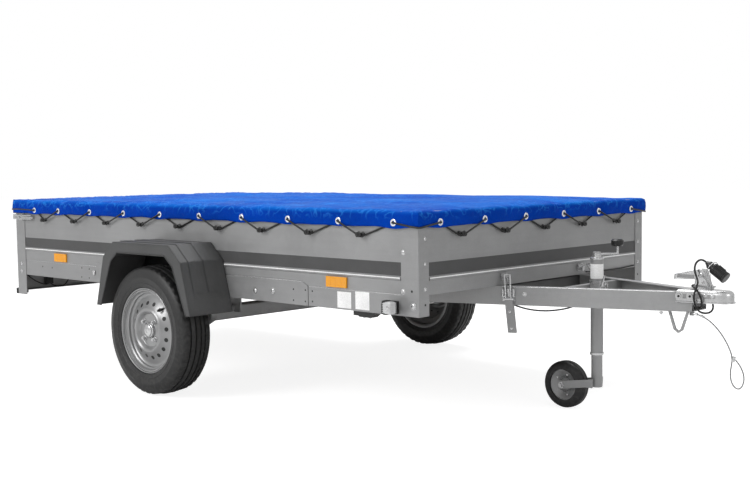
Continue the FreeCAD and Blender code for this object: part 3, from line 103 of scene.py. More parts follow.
# Routes of the free cords, ahead of the drawbar's nose, point by point as the part's source
# has them, with the ends that its solids have
NOSE_X = 2.035
CABLE_ROUTE = [
    (0.001, -0.033, 0.4365), (0.019, -0.036, 0.438), (0.035, -0.050, 0.447), (0.042, -0.061, 0.468),
    (0.033, -0.061, 0.490), (0.017, -0.051, 0.507), (-0.005, -0.034, 0.512),
    (-0.026, -0.008, 0.513), (-0.034, 0.024, 0.513), (-0.030, 0.060, 0.511), (-0.019, 0.078, 0.492),
    (-0.003, 0.076, 0.466), (0.017, 0.068, 0.446), (0.029, 0.048, 0.428), (0.031, 0.022, 0.418),
    (0.025, -0.004, 0.417), (0.021, -0.030, 0.423), (0.021, -0.052, 0.435), (0.018, -0.065, 0.455),
    (0.015, -0.069, 0.477), (0.017, -0.066, 0.499), (0.022, -0.058, 0.518), (0.020, -0.048, 0.534),
    (0.009, -0.037, 0.547), (-0.004, -0.027, 0.566), (-0.007, -0.022, 0.584),
    (-0.002, -0.020, 0.598), (0.0095, -0.020, 0.6075), (0.0243, -0.020, 0.6089),
    (0.037, -0.020, 0.600),
]
ROPE_ROUTE = [
    (0.000, -0.040, 0.418), (0.018, -0.039, 0.416), (0.043, -0.036, 0.406), (0.068, -0.031, 0.388),
    (0.090, -0.025, 0.363), (0.108, -0.018, 0.334), (0.121, -0.011, 0.304), (0.129, -0.005, 0.275),
    (0.126, -0.001, 0.246), (0.119, 0.001, 0.215), (0.122, 0.002, 0.185), (0.136, 0.002, 0.163),
    (0.155, 0.002, 0.160), (0.169, 0.001, 0.180), (0.172, 0.000, 0.207), (0.164, -0.001, 0.232),
    (0.152, -0.002, 0.251), (0.141, -0.003, 0.263),
]


def from_nose(points):
    """Points of a route as places on the trailer."""
    return [(NOSE_X + ahead, left, up) for ahead, left, up in points]


def length_size(name, what, default):
    """A length that a user may change."""
    look = {"unit": "LENGTH", "precision": 4}
    return bpy.props.FloatProperty(name=name, description=what, default=default, **look)


def plain_colour(name, what, default):
    """A colour that a user may change."""
    return bpy.props.FloatVectorProperty(
        name=name, description=what, default=default, subtype="COLOR", size=4, min=0.0, max=1.0
    )


class TrailerSizes(bpy.types.PropertyGroup):
    """Sizes of the trim that the scene adds to the frame."""

    tarp_crown: length_size("Crown", "Rise of the tarpaulin's middle", 0.012)
    tarp_fold: length_size("Folds", "Height of the tarpaulin's soft folds", 0.006)
    tarp_crumple: length_size("Crumples", "Height of the crumples along the tarpaulin's edges", 0.006)
    tarp_pucker: length_size("Puckers", "Depth of the pinches above the eyelets", 0.005)
    tarp_thick: length_size("Tarpaulin", "Thickness of the coated cloth", 0.0012)
    eyelet_radius: length_size("Eyelet", "Outer radius of an eyelet", 0.0135)
    eyelet_hole: length_size("Eyelet hole", "Inner radius of an eyelet", 0.0065)
    lace_radius: length_size("Lacing cord", "Radius of the lacing cord", 0.0035)
    hook_radius: length_size("Lacing hook", "Radius of a lacing hook's head", 0.011)
    cable_radius: length_size("Plug cable", "Radius of the plug's cable", 0.0035)
    rope_radius: length_size("Breakaway rope", "Radius of the breakaway rope", 0.0022)
    stripe_low: length_size("Stripe foot", "Height of the stripe's lower edge", 0.5625)
    stripe_high: length_size("Stripe head", "Height of the stripe's upper edge", 0.611)
    bolt_radius: length_size("Bolt", "Radius of a carriage bolt's head", 0.0085)
    groove_depth: length_size("Tread", "Depth of the tyres' grooves", 0.006)
    rib_height: length_size("Guard rib", "Height of the mudguards' pressed ribs", 0.0025)
    # Painted shade: the mudguards' dark lining stands for the shade inside the arches
    liner_in: length_size("Guard liner", "Distance of the liner's edge from the mudguard's face", 0.006)


class TrailerColours(bpy.types.PropertyGroup):
    """Colours of the trailer's finishes."""

    tarpaulin: plain_colour("Tarpaulin", "Coated cloth of the skirts", (0.0012, 0.044, 0.37, 1))
    # Painted light: the top's lighter blue stands for the light that falls on it from above
    faded: plain_colour("Faded top", "Coated cloth of the sunlit top", (0.004, 0.12, 0.52, 1))
    # Painted highlight: lighter blue for the crests of the creases, where light catches them
    crease: plain_colour("Creases", "Rubbed crests of the cloth's creases", (0.03, 0.24, 0.72, 1))
    zinc_sheet: plain_colour("Galvanised sheet", "Walls, posts and rails", (0.285, 0.286, 0.288, 1))
    zinc_frame: plain_colour("Galvanised frame", "Drawbar and axle", (0.31, 0.311, 0.313, 1))
    # Also the bright strips of painted highlight along the drawbar beams' top edges
    bright_zinc: plain_colour("Bright zinc", "Bolts, latches and coupling", (0.54, 0.542, 0.545, 1))
    stripe: plain_colour("Stripe", "Band along the walls", (0.062, 0.062, 0.063, 1))
    wheel_silver: plain_colour("Wheel silver", "Rims", (0.29, 0.291, 0.293, 1))
    tyre_black: plain_colour("Tyre black", "Tyres", (0.016, 0.016, 0.0161, 1))
    # Also the dark cross-member of painted shade under the box's front
    guard_grey: plain_colour("Mudguard", "Moulded mudguards", (0.063, 0.0635, 0.064, 1))
    # Also the dark discs and lining of painted shade in openings, sockets and the mudguards' arches
    moulded_black: plain_colour("Moulded black", "Plug, hooks and knob", (0.0055, 0.0055, 0.0055, 1))
    rubber_black: plain_colour("Rubber black", "Cords, arms and buffers", (0.0075, 0.0075, 0.0075, 1))
    amber: plain_colour("Amber", "Side reflectors", (0.9, 0.36, 0.002, 1))
    lamp_red: plain_colour("Lamp red", "Tail lamps", (0.42, 0.008, 0.008, 1))
    lamp_clear: plain_colour("Lamp clear", "Position lamps", (0.6, 0.605, 0.61, 1))
    plywood: plain_colour("Plywood", "Floor board", (0.07, 0.038, 0.02, 1))
    # Also the white of the painted highlights on the bead's crest and the jockey wheel's tube
    label: plain_colour("Label", "Blank labels", (0.86, 0.86, 0.86, 1))
    eyelet: plain_colour("Eyelet", "Eyelets of the tarpaulin", (0.8, 0.81, 0.82, 1))
    rope: plain_colour("Rope", "Breakaway rope", (0.15, 0.152, 0.155, 1))
    floor: plain_colour("Studio floor", "Floor that the trailer stands on", (0.87, 0.87, 0.87, 1))


def sizes():
    """The sizes that a user may change."""
    return bpy.context.scene.trailer_sizes


def spot(place):
    """A place measured from the axle, in the frame's own metres."""
    return Vector((place[0] + AXLE_X, place[1], place[2]))


def mirrored(places, hand):
    """Places given for the left side, on the left where hand is 1 and on the right where it is -1."""
    return [(ahead, hand * left, up) for ahead, left, up in places]


def outward(turn, hand):
    """A level direction out to one side, turned forward by an angle."""
    return Vector((math.sin(turn), hand * math.cos(turn), 0))


def round_places(centre, radius, degrees):
    """Places at angles round a centre, in a plane that faces sideways."""
    ahead, left, up = centre
    turns = [math.radians(angle) for angle in degrees]
    return [(ahead + radius * math.cos(turn), left, up + radius * math.sin(turn)) for turn in turns]


# Shader graphs ---------------------------------------------------------------------------


def fill_inputs(tree, sockets, **inputs):
    """Set or link inputs by name, or by number where the name is n and a number."""
    for name, value in inputs.items():
        numbered = name[0] == "n" and name[1:].isdigit()
        socket = sockets[int(name[1:]) if numbered else name.replace("_", " ")]
        if isinstance(value, bpy.types.NodeSocket):
            tree.links.new(value, socket)
        else:
            socket.default_value = value


def add_node(tree, kind, settings=None, **inputs):
    """Add a shader node, set its options, and fill its inputs."""
    node = tree.nodes.new("ShaderNode" + kind)
    for name, value in (settings or {}).items():
        setattr(node, name, value)
    fill_inputs(tree, node.inputs, **inputs)
    return node


def object_places(tree):
    """Places in a piece's own coordinates."""
    return add_node(tree, "TexCoord").outputs["Object"]


def work_out(tree, operation, *values):
    """The result of a sum over one, two or three values."""
    inputs = {f"n{number}": value for number, value in enumerate(values)}
    return add_node(tree, "Math", {"operation": operation}, **inputs).outputs[0]


def stretch(tree, places, factors):
    """Places drawn out by a factor along each axis."""
    return add_node(tree, "VectorMath", {"operation": "MULTIPLY"}, n0=places, n1=factors).outputs[0]


def cloudiness(tree, places, scale, detail, **more):
    """Soft noise from 0 to 1."""
    return add_node(tree, "TexNoise", None, Vector=places, Scale=scale, Detail=detail, **more).outputs[0]


def stripes_of(tree, places, scale, direction, **more):
    """Waves from 0 to 1 that run along a direction."""
    settings = {"wave_type": "BANDS", "bands_direction": direction}
    return add_node(tree, "TexWave", settings, Vector=places, Scale=scale, **more).outputs[1]


def blend_colours(tree, share, first, second):
    """Mix two colours by a share."""
    settings = {"data_type": "RGBA", "blend_type": "MIX"}
    return add_node(tree, "Mix", settings, n0=share, n6=first, n7=second).outputs[2]


def remap(tree, value, low, high, new_low, new_high):
    """Stretch one range of values over another."""
    ends = {"From_Min": low, "From_Max": high, "To_Min": new_low, "To_Max": new_high}
    return add_node(tree, "MapRange", None, Value=value, **ends).outputs[0]


def start_group(name, inputs, outputs):
    """A new shader node group with named inputs and outputs."""
    group = bpy.data.node_groups.new(name, "ShaderNodeTree")
    for label, kind, default in inputs:
        socket = group.interface.new_socket(label, in_out="INPUT", socket_type="NodeSocket" + kind)
        socket.default_value = default
    for label, kind in outputs:
        group.interface.new_socket(label, in_out="OUTPUT", socket_type="NodeSocket" + kind)
    given = group.nodes.new("NodeGroupInput").outputs
    return group, given, group.nodes.new("NodeGroupOutput").inputs


def build_mottle_group():
    """Uneven colour: a slow cloud and a fine grain between two shades."""
    inputs = (
        ("Shade", "Color", (0.5, 0.5, 0.5, 1)),
        ("Other Shade", "Color", (0.4, 0.4, 0.4, 1)),
        ("Cloud Scale", "Float", 3.0),
        ("Grain Scale", "Float", 300.0),
        ("Grain Share", "Float", 0.3),
    )
    group, given, result = start_group("Mottle", inputs, (("Shade", "Color"), ("Mask", "Float")))
    where = object_places(group)
    cloud = cloudiness(group, where, given["Cloud Scale"], 5.0)
    grain = cloudiness(group, where, given["Grain Scale"], 2.0)
    both = add_node(group, "Mix", {"data_type": "FLOAT"}, n0=given["Grain Share"], n2=cloud, n3=grain)
    mask = remap(group, both.outputs[0], 0.36, 0.64, 0.0, 1.0)
    group.links.new(mask, result["Mask"])
    group.links.new(blend_colours(group, mask, given["Shade"], given["Other Shade"]), result["Shade"])
    return group


def build_spangle_group():
    """Crystal pattern of hot-dip zinc: flat facets of slightly different shade."""
    inputs = (("Scale", "Float", 60.0), ("Stretch", "Float", 1.0))
    group, given, result = start_group("Spangle", inputs, (("Facet", "Float"), ("Streak", "Float")))
    where = object_places(group)
    cells = add_node(group, "TexVoronoi", {"feature": "SMOOTH_F1"}, Vector=where, Scale=given["Scale"])
    facet = add_node(group, "RGBToBW", None, Color=cells.outputs["Color"]).outputs[0]
    streak = cloudiness(group, stretch(group, where, (1.5, 1.5, 26.0)), given["Stretch"], 4.0)
    group.links.new(facet, result["Facet"])
    group.links.new(streak, result["Streak"])
    return group


def build_weave_group():
    """Scrim of a coated cloth: threads crossing at right angles under the coating."""
    group, given, result = start_group("Weave", (("Threads", "Float", 600.0),), (("Height", "Float"),))
    where = object_places(group)
    heights = [stripes_of(group, where, given["Threads"], direction) for direction in "XYZ"]
    pair = work_out(group, "ADD", *heights[:2])
    group.links.new(work_out(group, "ADD", pair, heights[2]), result["Height"])
    return group


def build_dust_group():
    """Road dust: a mask that is strongest near the ground and breaks up in specks."""
    inputs = (("Reach", "Float", 0.5), ("Specks", "Float", 90.0))
    group, given, result = start_group("Road Dust", inputs, (("Mask", "Float"),))
    where = object_places(group)
    height = add_node(group, "SeparateXYZ", None, Vector=where).outputs["Z"]
    low = remap(group, height, 0.0, given["Reach"], 1.0, 0.0)
    broken = remap(group, cloudiness(group, where, given["Specks"], 6.0), 0.45, 0.7, 0.0, 1.0)
    group.links.new(work_out(group, "MULTIPLY", low, broken), result["Mask"])
    return group


GROUPS = {
    "Mottle": build_mottle_group,
    "Spangle": build_spangle_group,
    "Weave": build_weave_group,
    "Road Dust": build_dust_group,
}


def use_group(tree, name, **inputs):
    """Place a shared effect in a material."""
    node = tree.nodes.new("ShaderNodeGroup")
    node.node_tree = bpy.data.node_groups.get(name) or GROUPS[name]()
    fill_inputs(tree, node.inputs, **inputs)
    return node.outputs


def scaled(colour, share):
    """A colour made lighter or darker."""
    return (*(min(1.0, part * share) for part in colour[:3]), 1.0)


# The frame has plain materials of its own under the slots' names
FINISH_NAME = "finish_{}"


def start_material(name):
    """A new material, its node tree and its shader's inputs."""
    material = bpy.data.materials.new(FINISH_NAME.format(name))
    material.use_nodes = True
    return material, material.node_tree, material.node_tree.nodes["Principled BSDF"].inputs


def bump(tree, shader, height, strength, distance):
    """Raise a surface by a height in metres."""
    node = add_node(tree, "Bump", None, Height=height, Strength=strength, Distance=distance)
    tree.links.new(node.outputs[0], shader["Normal"])


def zinc_material(name, colour, rough, metal, spangle, strength=1.0):
    """Galvanised steel: spangle facets, faint vertical streaks and uneven gloss."""
    material, tree, shader = start_material(name)
    pattern = use_group(tree, "Spangle", Scale=spangle, Stretch=2.2)
    light, dark = scaled(colour, 1 + 0.1 * strength), scaled(colour, 1 - 0.1 * strength)
    cloud = use_group(tree, "Mottle", Shade=dark, Other_Shade=light, Cloud_Scale=2.4)
    share = remap(tree, pattern["Facet"], 0.2, 0.8, 0.0, 0.16 * strength)
    shade = blend_colours(tree, share, cloud["Shade"], scaled(colour, 1.35))
    streaks = remap(tree, pattern["Streak"], 0.4, 0.65, 0.0, 0.14 * strength)
    shade = blend_colours(tree, streaks, shade, scaled(colour, 0.78))
    spread = 0.06 * strength
    uneven = remap(tree, pattern["Facet"], 0.2, 0.8, rough - spread, rough + spread)
    fill_inputs(tree, shader, Base_Color=shade, Roughness=uneven, Metallic=metal)
    bump(tree, shader, cloud["Mask"], 0.12 * strength, 0.0004)
    return material


DUST = (0.2, 0.19, 0.18, 1)


def moulded_material(name, colour, rough, grain, dust=0.0, gloss=0.0, soft_edge=0.0):
    """Moulded plastic or rubber with a fine grain, and road dust where it is low down."""
    material, tree, shader = start_material(name)
    shades = {"Shade": scaled(colour, 0.86), "Other_Shade": scaled(colour, 1.18)}
    mottle = use_group(tree, "Mottle", **shades, Cloud_Scale=9.0, Grain_Scale=grain, Grain_Share=0.5)
    shade = mottle["Shade"]
    if dust:
        mask = use_group(tree, "Road Dust", Reach=0.55, Specks=70.0)["Mask"]
        shade = blend_colours(tree, remap(tree, mask, 0.0, 1.0, 0.0, dust), shade, DUST)
    uneven = remap(tree, mottle["Mask"], 0.0, 1.0, rough - 0.06, rough + 0.08)
    fill_inputs(tree, shader, Base_Color=shade, Roughness=uneven)
    fill_inputs(tree, shader, Coat_Weight=gloss, Specular_IOR_Level=0.35)
    bump(tree, shader, mottle["Mask"], 0.2, 0.0003)
    if soft_edge:
        rounded = add_node(tree, "Bevel", {"samples": 4}, Radius=soft_edge).outputs[0]
        tree.links.new(rounded, shader["Normal"].links[0].from_node.inputs["Normal"])
    return material


def tarpaulin_material(name, colour):
    """Blue coated cloth: woven scrim under a soft gloss, with painted light: a lighter top in soft
    patches where light falls, and painted highlights on the crumples' crests near the fold.
    """
    colours = bpy.context.scene.trailer_colours
    material, tree, shader = start_material(name)
    shades = {"Shade": scaled(colour, 0.85), "Other_Shade": scaled(colour, 1.12)}
    mottle = use_group(tree, "Mottle", **shades, Cloud_Scale=4.0, Grain_Scale=120.0, Grain_Share=0.25)
    where = object_places(tree)
    up = add_node(tree, "SeparateXYZ", None, Vector=where).outputs["Z"]
    # Painted light: the top is made lighter, in soft patches, where light falls on it
    patches = cloudiness(tree, stretch(tree, where, (1.2, 5.0, 5.0)), 1.6, 4.0, Roughness=0.55)
    bright = remap(tree, patches, 0.38, 0.64, 0.2, 1.0)
    on_top = remap(tree, up, WALL_TOP - 0.012, WALL_TOP + 0.001, 0.0, 1.0)
    faded = work_out(tree, "MULTIPLY", bright, on_top)
    shade = blend_colours(tree, faded, mottle["Shade"], colours.faded)
    # Painted highlight: lighter lines along the crests of the crumples near the top fold
    crumpled = cloudiness(tree, where, 15.0, 3.0, Distortion=0.6)
    crest = work_out(tree, "ABSOLUTE", work_out(tree, "SUBTRACT", crumpled, 0.5))
    line = remap(tree, crest, 0.0, 0.035, 1.0, 0.0)
    at_fold = remap(tree, up, WALL_TOP - 0.035, WALL_TOP - 0.004, 0.0, 0.55)
    shade = blend_colours(tree, work_out(tree, "MULTIPLY", line, at_fold), shade, colours.crease)
    uneven = remap(tree, mottle["Mask"], 0.0, 1.0, 0.36, 0.5)
    fill_inputs(tree, shader, Base_Color=shade, Roughness=uneven, Specular_IOR_Level=0.01)
    weave = use_group(tree, "Weave", Threads=120.0)["Height"]
    creases = cloudiness(tree, where, 34.0, 5.0, Roughness=0.6)
    bump(tree, shader, work_out(tree, "MULTIPLY_ADD", creases, 16.0, weave), 0.6, 0.0005)
    return material


def lens_material(name, colour, facets):
    """Lamp or reflector plastic: clear coat over rows of small prisms."""
    material, tree, shader = start_material(name)
    places = {"Vector": object_places(tree), "Scale": facets, "Randomness": 0.0}
    prisms = add_node(tree, "TexVoronoi", {"distance": "CHEBYCHEV"}, **places).outputs["Distance"]
    shade = blend_colours(tree, remap(tree, prisms, 0.0, 0.6, 0.0, 0.45), colour, scaled(colour, 0.62))
    fill_inputs(tree, shader, Base_Color=shade, Roughness=0.22)
    fill_inputs(tree, shader, Coat_Weight=0.25, Coat_Roughness=0.06)
    bump(tree, shader, prisms, 0.4, 0.0012)
    return material


def plywood_material(name, colour):
    """Phenolic-faced plywood: fine mesh print and long grain in dark brown."""
    material, tree, shader = start_material(name)
    grain = cloudiness(tree, stretch(tree, object_places(tree), (3.0, 40.0, 40.0)), 3.0, 6.0)
    share = remap(tree, grain, 0.35, 0.65, 0.0, 1.0)
    shade = blend_colours(tree, share, scaled(colour, 0.7), scaled(colour, 1.4))
    uneven = remap(tree, grain, 0.3, 0.7, 0.35, 0.55)
    fill_inputs(tree, shader, Base_Color=shade, Roughness=uneven)
    bump(tree, shader, use_group(tree, "Weave", Threads=70.0)["Height"], 0.3, 0.0004)
    return material


def cord_material(name, colour, rough):
    """Braided or sheathed cord: slanting strands worked out from its own places."""
    material, tree, shader = start_material(name)
    strands = stripes_of(tree, object_places(tree), 140.0, "DIAGONAL", Distortion=1.5)
    shade = blend_colours(tree, strands, scaled(colour, 0.6), scaled(colour, 1.6))
    fill_inputs(tree, shader, Base_Color=shade, Roughness=rough)
    bump(tree, shader, strands, 0.5, 0.0006)
    return material


# How each finish is made, from which colour, and what else its maker takes:
# zinc has roughness, metal, spangle scale and strength; a moulding has roughness, grain
# scale, dust, gloss and soft edge; a lens has the scale of its prisms; a cord has roughness
FINISHES = {
    "galvanised_sheet": (zinc_material, "zinc_sheet", 0.42, 0.35, 46.0),
    "galvanised_frame": (zinc_material, "zinc_frame", 0.46, 0.35, 60.0),
    "zinc_fittings": (zinc_material, "bright_zinc", 0.26, 0.8, 140.0, 0.2),
    # Also the darker films of painted shade on the coupling's pressed fields and handle
    "dull_zinc": (zinc_material, "zinc_sheet", 0.42, 0.35, 140.0, 0.4),
    "wheel_steel": (zinc_material, "wheel_silver", 0.32, 0.45, 400.0, 0.25),
    "eyelet_metal": (zinc_material, "eyelet", 0.22, 0.6, 300.0, 0.2),
    "stripe": (moulded_material, "stripe", 0.5, 500.0),
    "tyre_rubber": (moulded_material, "tyre_black", 0.44, 500.0, 0.12),
    "guard_plastic": (moulded_material, "guard_grey", 0.6, 1100.0, 0.12, 0.0, 0.012),
    "black_plastic": (moulded_material, "moulded_black", 0.38, 900.0, 0.0, 0.2),
    "black_rubber": (moulded_material, "rubber_black", 0.55, 700.0),
    "label": (moulded_material, "label", 0.45, 300.0),
    "amber_lens": (lens_material, "amber", 190.0),
    "red_lens": (lens_material, "lamp_red", 120.0),
    "clear_lens": (lens_material, "lamp_clear", 130.0),
    "floor_plywood": (plywood_material, "plywood"),
    "rope_white": (cord_material, "rope", 0.5),
    "lacing": (cord_material, "rubber_black", 0.45),
    "blue_tarpaulin": (tarpaulin_material, "tarpaulin"),
}


def finish(name):
    """A finish, made when it is first asked for."""
    made = bpy.data.materials.get(FINISH_NAME.format(name))
    if made:
        return made
    make, colour, *rest = FINISHES[name]
    return make(name, getattr(bpy.context.scene.trailer_colours, colour), *rest)


# Mesh work -------------------------------------------------------------------------------


def turned(axis):
    """Rotation that lays the Z axis along another."""
    return Vector((0, 0, 1)).rotation_difference(Vector(axis)).to_matrix().to_4x4()


def add_bar(shape, start, end, radius, segments=16, end_radius=None):
    """A closed round bar or cone between two places."""
    start, end = spot(start), spot(end)
    along = end - start
    placed = Matrix.Translation((start + end) / 2) @ turned(along.normalized())
    bmesh.ops.create_cone(
        shape,
        cap_ends=True,
        segments=segments,
        radius1=radius,
        radius2=radius if end_radius is None else end_radius,
        depth=along.length,
        matrix=placed,
    )


def round_edges(shape, edges, offset, segments):
    """Bevel edges to a radius."""
    how = {"offset": offset, "segments": segments, "profile": 0.5, "affect": "EDGES", "material": -1}
    bmesh.ops.bevel(shape, geom=edges, **how)


def add_slab(shape, low, high, round_edge=0.0, segments=2):
    """A block between two corners, with its edges rounded."""
    low, high = spot(low), spot(high)
    extent = [abs(high[i] - low[i]) for i in range(3)]
    placed = Matrix.Translation((low + high) / 2) @ Matrix.Diagonal((*extent, 1.0))
    corners = bmesh.ops.create_cube(shape, size=1.0, matrix=placed)["verts"]
    if round_edge:
        edges = list({edge for corner in corners for edge in corner.link_edges})
        round_edges(shape, edges, round_edge, segments)


def add_turned(shape, profile, place, axis, steps=32):
    """Spin an outline of (radius, height) points about an axis through a place."""
    aim = turned(axis)
    centre = spot(place)
    points = [shape.verts.new(centre + aim @ Vector((radius, 0, height))) for radius, height in profile]
    line = [shape.edges.new(pair) for pair in pairwise(points)]
    bmesh.ops.spin(
        shape,
        geom=points + line,
        cent=centre,
        axis=aim @ Vector((0, 0, 1)),
        angle=math.tau,
        steps=steps,
        use_merge=True,
    )


def add_bolt(shape, place, axis, radius, high=None, hexagon=False):
    """A bolt's head on its washer, standing out from a place."""
    axis = Vector(axis)
    high = high or radius * 0.55
    washer = [(0.0, 0.0), (radius * 1.45, 0.0), (radius * 1.45, high * 0.25), (radius, high * 0.25)]
    if hexagon:
        add_turned(shape, washer + [(0.0, high * 0.25)], place, axis, 20)
        start = Vector(place) + axis * high * 0.2
        add_bar(shape, start, Vector(place) + axis * high * 1.3, radius, 6, radius * 0.94)
    else:
        dome = [(radius * 0.95, high * 0.6), (radius * 0.7, high * 0.9), (0.0, high)]
        add_turned(shape, washer + dome, place, axis, 20)


def add_prism(shape, corners, shift):
    """A flat outline pushed out into a solid."""
    face = shape.faces.new([shape.verts.new(spot(corner)) for corner in corners])
    made = bmesh.ops.extrude_face_region(shape, geom=[face])["geom"]
    moved = [item for item in made if isinstance(item, bmesh.types.BMVert)]
    bmesh.ops.translate(shape, verts=moved, vec=shift)


def mirror(add, shape, places, *how, **more):
    """Add a thing on both sides, given the left one's places and directions."""
    for _, hand in SIDES:
        add(shape, *mirrored(places, hand), *how, **more)


def new_shapes(count):
    """Empty meshes to build in."""
    return [bmesh.new() for _ in range(count)]


def hoop(inner, outer, low, high):
    """Closed section of a hoop between two radii and two heights."""
    return [(inner, low), (outer, low), (outer, high), (inner, high), (inner, low)]


def place_object(name, data):
    """A new object in the scene."""
    placed = bpy.data.objects.new(name, data)
    bpy.context.collection.objects.link(placed)
    return placed


def finish_piece(name, shape, material, body, replaces=(), angle=38):
    """Turn a bmesh into a finished piece that rides on a body of the frame.

    Where it replaces nodes, those nodes are hidden.
    """
    bmesh.ops.remove_doubles(shape, verts=shape.verts, dist=1e-6)
    bmesh.ops.recalc_face_normals(shape, faces=shape.faces)
    mesh = bpy.data.meshes.new(name)
    shape.to_mesh(mesh)
    shape.free()
    mesh.materials.append(finish(material))
    mesh.shade_smooth()
    mesh.set_sharp_from_angle(angle=math.radians(angle))
    piece = place_object(name, mesh)
    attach(piece, body)
    if replaces:
        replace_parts(piece, *replaces)
    return piece


def add_lead(name, points, body):
    """A thin lead that hangs between two places on the trailer."""
    lead = cord_piece(name, points, 0.003, "black_rubber", body)


def cord_piece(name, points, radius, material, body, kind="NURBS"):
    """A round cord along a line of places."""
    curve = bpy.data.curves.new(name, "CURVE")
    curve.dimensions = "3D"
    curve.bevel_depth = radius
    curve.bevel_resolution = 3
    curve.use_fill_caps = True
    curve.resolution_u = 6
    line = curve.splines.new(kind)
    line.points.add(len(points) - 1)
    for control, place in zip(line.points, points):
        control.co = (*spot(place), 1.0)
    if kind == "NURBS":
        line.order_u = 3
        line.use_endpoint_u = True
    curve.materials.append(finish(material))
    piece = place_object(name, curve)
    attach(piece, body)
    return piece


# Finishes of the frame's own nodes -------------------------------------------------------


class TRAILER_OT_finishes(bpy.types.Operator):
    """Give every node of the frame the finish of its material slot"""

    bl_idname = "trailer.finishes"
    bl_label = "Finishes"

    def execute(self, context):
        slots = {part["node"]: part["material_slot"] for part in frame["record"]["subparts"]}
        for node, piece in frame["nodes"].items():
            piece.data.materials.clear()
            dull = node in ("jockey_housing", "jockey_leg")
            piece.data.materials.append(finish("dull_zinc" if dull else slots[node]))
        return {"FINISHED"}


# Tarpaulin -------------------------------------------------------------------------------

# Height of the cover's flat top, and width of a hem's pull and of the edges' crumpling
TARP_TOP = WALL_TOP + 0.0022
PUCKER_WIDE, HEM_WIDE = 0.04, 0.05
EDGE_WIDE, REAR_WIDE = 0.09, 0.16
# The sharp crease down the right skirt: how far ahead it is at its middle, its width and height
CREASE_AHEAD, CREASE_DOWN, CREASE_WIDE, CREASE_OUT = 1.325, 0.03, 0.007, 0.003


def pinch(along, eyelets, width):
    """How near a place is to an eyelet, from 0 to 1."""
    return max(math.exp(-(((along - eyelet) / width) ** 2)) for eyelet in eyelets)


def ridges(ahead, left, size, seed):
    """Sharp crests and soft hollows of crumpled cloth, from -1 to 1."""
    return 1 - 2.6 * abs(noise.noise(Vector((ahead * size, left * size, seed))))


def slackness(ahead):
    """How loose the cloth is at a distance along the trailer: most at the rear."""
    return 0.45 + 0.75 * max(0.0, 1 - (ahead - TARP_REAR) / 1.5)


def tarp_height(ahead, left):
    """Height of the tarpaulin's top over its flat height."""
    size = sizes()
    across = min(1.0, abs(left) / TARP_SIDE)
    middle = (TARP_FRONT + TARP_REAR) / 2
    along = min(1.0, abs(ahead - middle) / (TARP_FRONT - middle))
    crown = size.tarp_crown * (1 - across**2) * (1 - along**6)
    folds = noise.noise(Vector((ahead * 1.7, left * 9.0, 0.3)))
    folds += 0.6 * noise.noise(Vector((ahead * 4.0, left * 4.0, 2.1)))
    wave = size.tarp_fold * (0.8 + folds) * (1 - along**8)
    near_edge = min(TARP_SIDE - abs(left), TARP_FRONT - ahead)
    side_edge = max(0.0, 1 - (TARP_SIDE - abs(left)) / EDGE_WIDE)
    front_edge = max(0.0, 1 - (TARP_FRONT - ahead) / EDGE_WIDE)
    rear_edge = max(0.0, 1 - (ahead - TARP_REAR) / REAR_WIDE)
    rumpled = min(1.0, max(side_edge, front_edge, rear_edge) + 0.25)
    crumple = size.tarp_crumple * slackness(ahead) * rumpled
    crumple *= 0.35 + 0.65 * ridges(ahead, left, 13.0, 9.0)
    crumple += 0.5 * size.tarp_crumple * rear_edge * ridges(ahead, left, 24.0, 4.0)
    puckers = side_edge * pinch(ahead, SIDE_EYELETS, PUCKER_WIDE)
    puckers += front_edge * pinch(left, CROSS_EYELETS, PUCKER_WIDE)
    raised = (crown + max(0.0, wave)) * min(1.0, near_edge / 0.06 + 0.2)
    return raised + crumple - size.tarp_pucker * puckers


def tarp_bulge(along, down, eyelets, seed, slack):
    """How far a skirt stands out from its flat place."""
    size = sizes()
    pull = pinch(along, eyelets, PUCKER_WIDE)
    belly = math.sin(math.pi * min(1.0, down / 0.06))
    pillow = 0.004 * (1 - pull) * belly
    crumple = 0.5 * size.tarp_crumple * ridges(along, down * 1.5, 17.0, seed)
    crease = 0.0016 * noise.noise(Vector((along * 55.0, down * 7.0, seed + 4.0)))
    return pillow + slack * (crumple + crease) * (1 - 0.6 * pull) - 0.4 * size.tarp_pucker * pull * belly


def shape_tarp_point(point):
    """Move a point of the flat, square-edged cover to where the laced cloth lies."""
    ahead, left, up = point.x - AXLE_X, point.y, point.z
    down = TARP_TOP - up
    hem = down / (TARP_TOP - TARP_LOW)
    hand = 1 if left > 0 else -1
    near = min(TARP_SIDE - abs(left), TARP_FRONT - ahead)
    rounding = 0.0045 * max(0.0, 1 - near / 0.012) ** 2
    point.z += (1 - hem) * (tarp_height(ahead, left) - rounding)
    if hem < 1e-6:
        return
    if abs(abs(left) - TARP_SIDE) < 1e-6:
        point.y += hand * tarp_bulge(ahead, down, SIDE_EYELETS, 1.0 + hand, slackness(ahead))
        slant = ahead - CREASE_AHEAD - (down - CREASE_DOWN) * 0.5
        if hand < 0:
            point.y += hand * CREASE_OUT * math.exp(-((slant / CREASE_WIDE) ** 2))
        pull = pinch(ahead, SIDE_EYELETS, HEM_WIDE)
    else:
        point.x += tarp_bulge(left, down, CROSS_EYELETS, 7.0, 0.6)
        pull = pinch(left, CROSS_EYELETS, HEM_WIDE)
    wave = noise.noise(Vector((ahead * 9.0, left * 9.0, 3.0)))
    point.z += hem * (0.003 * wave + 0.0025 * (1 - 2 * pull))


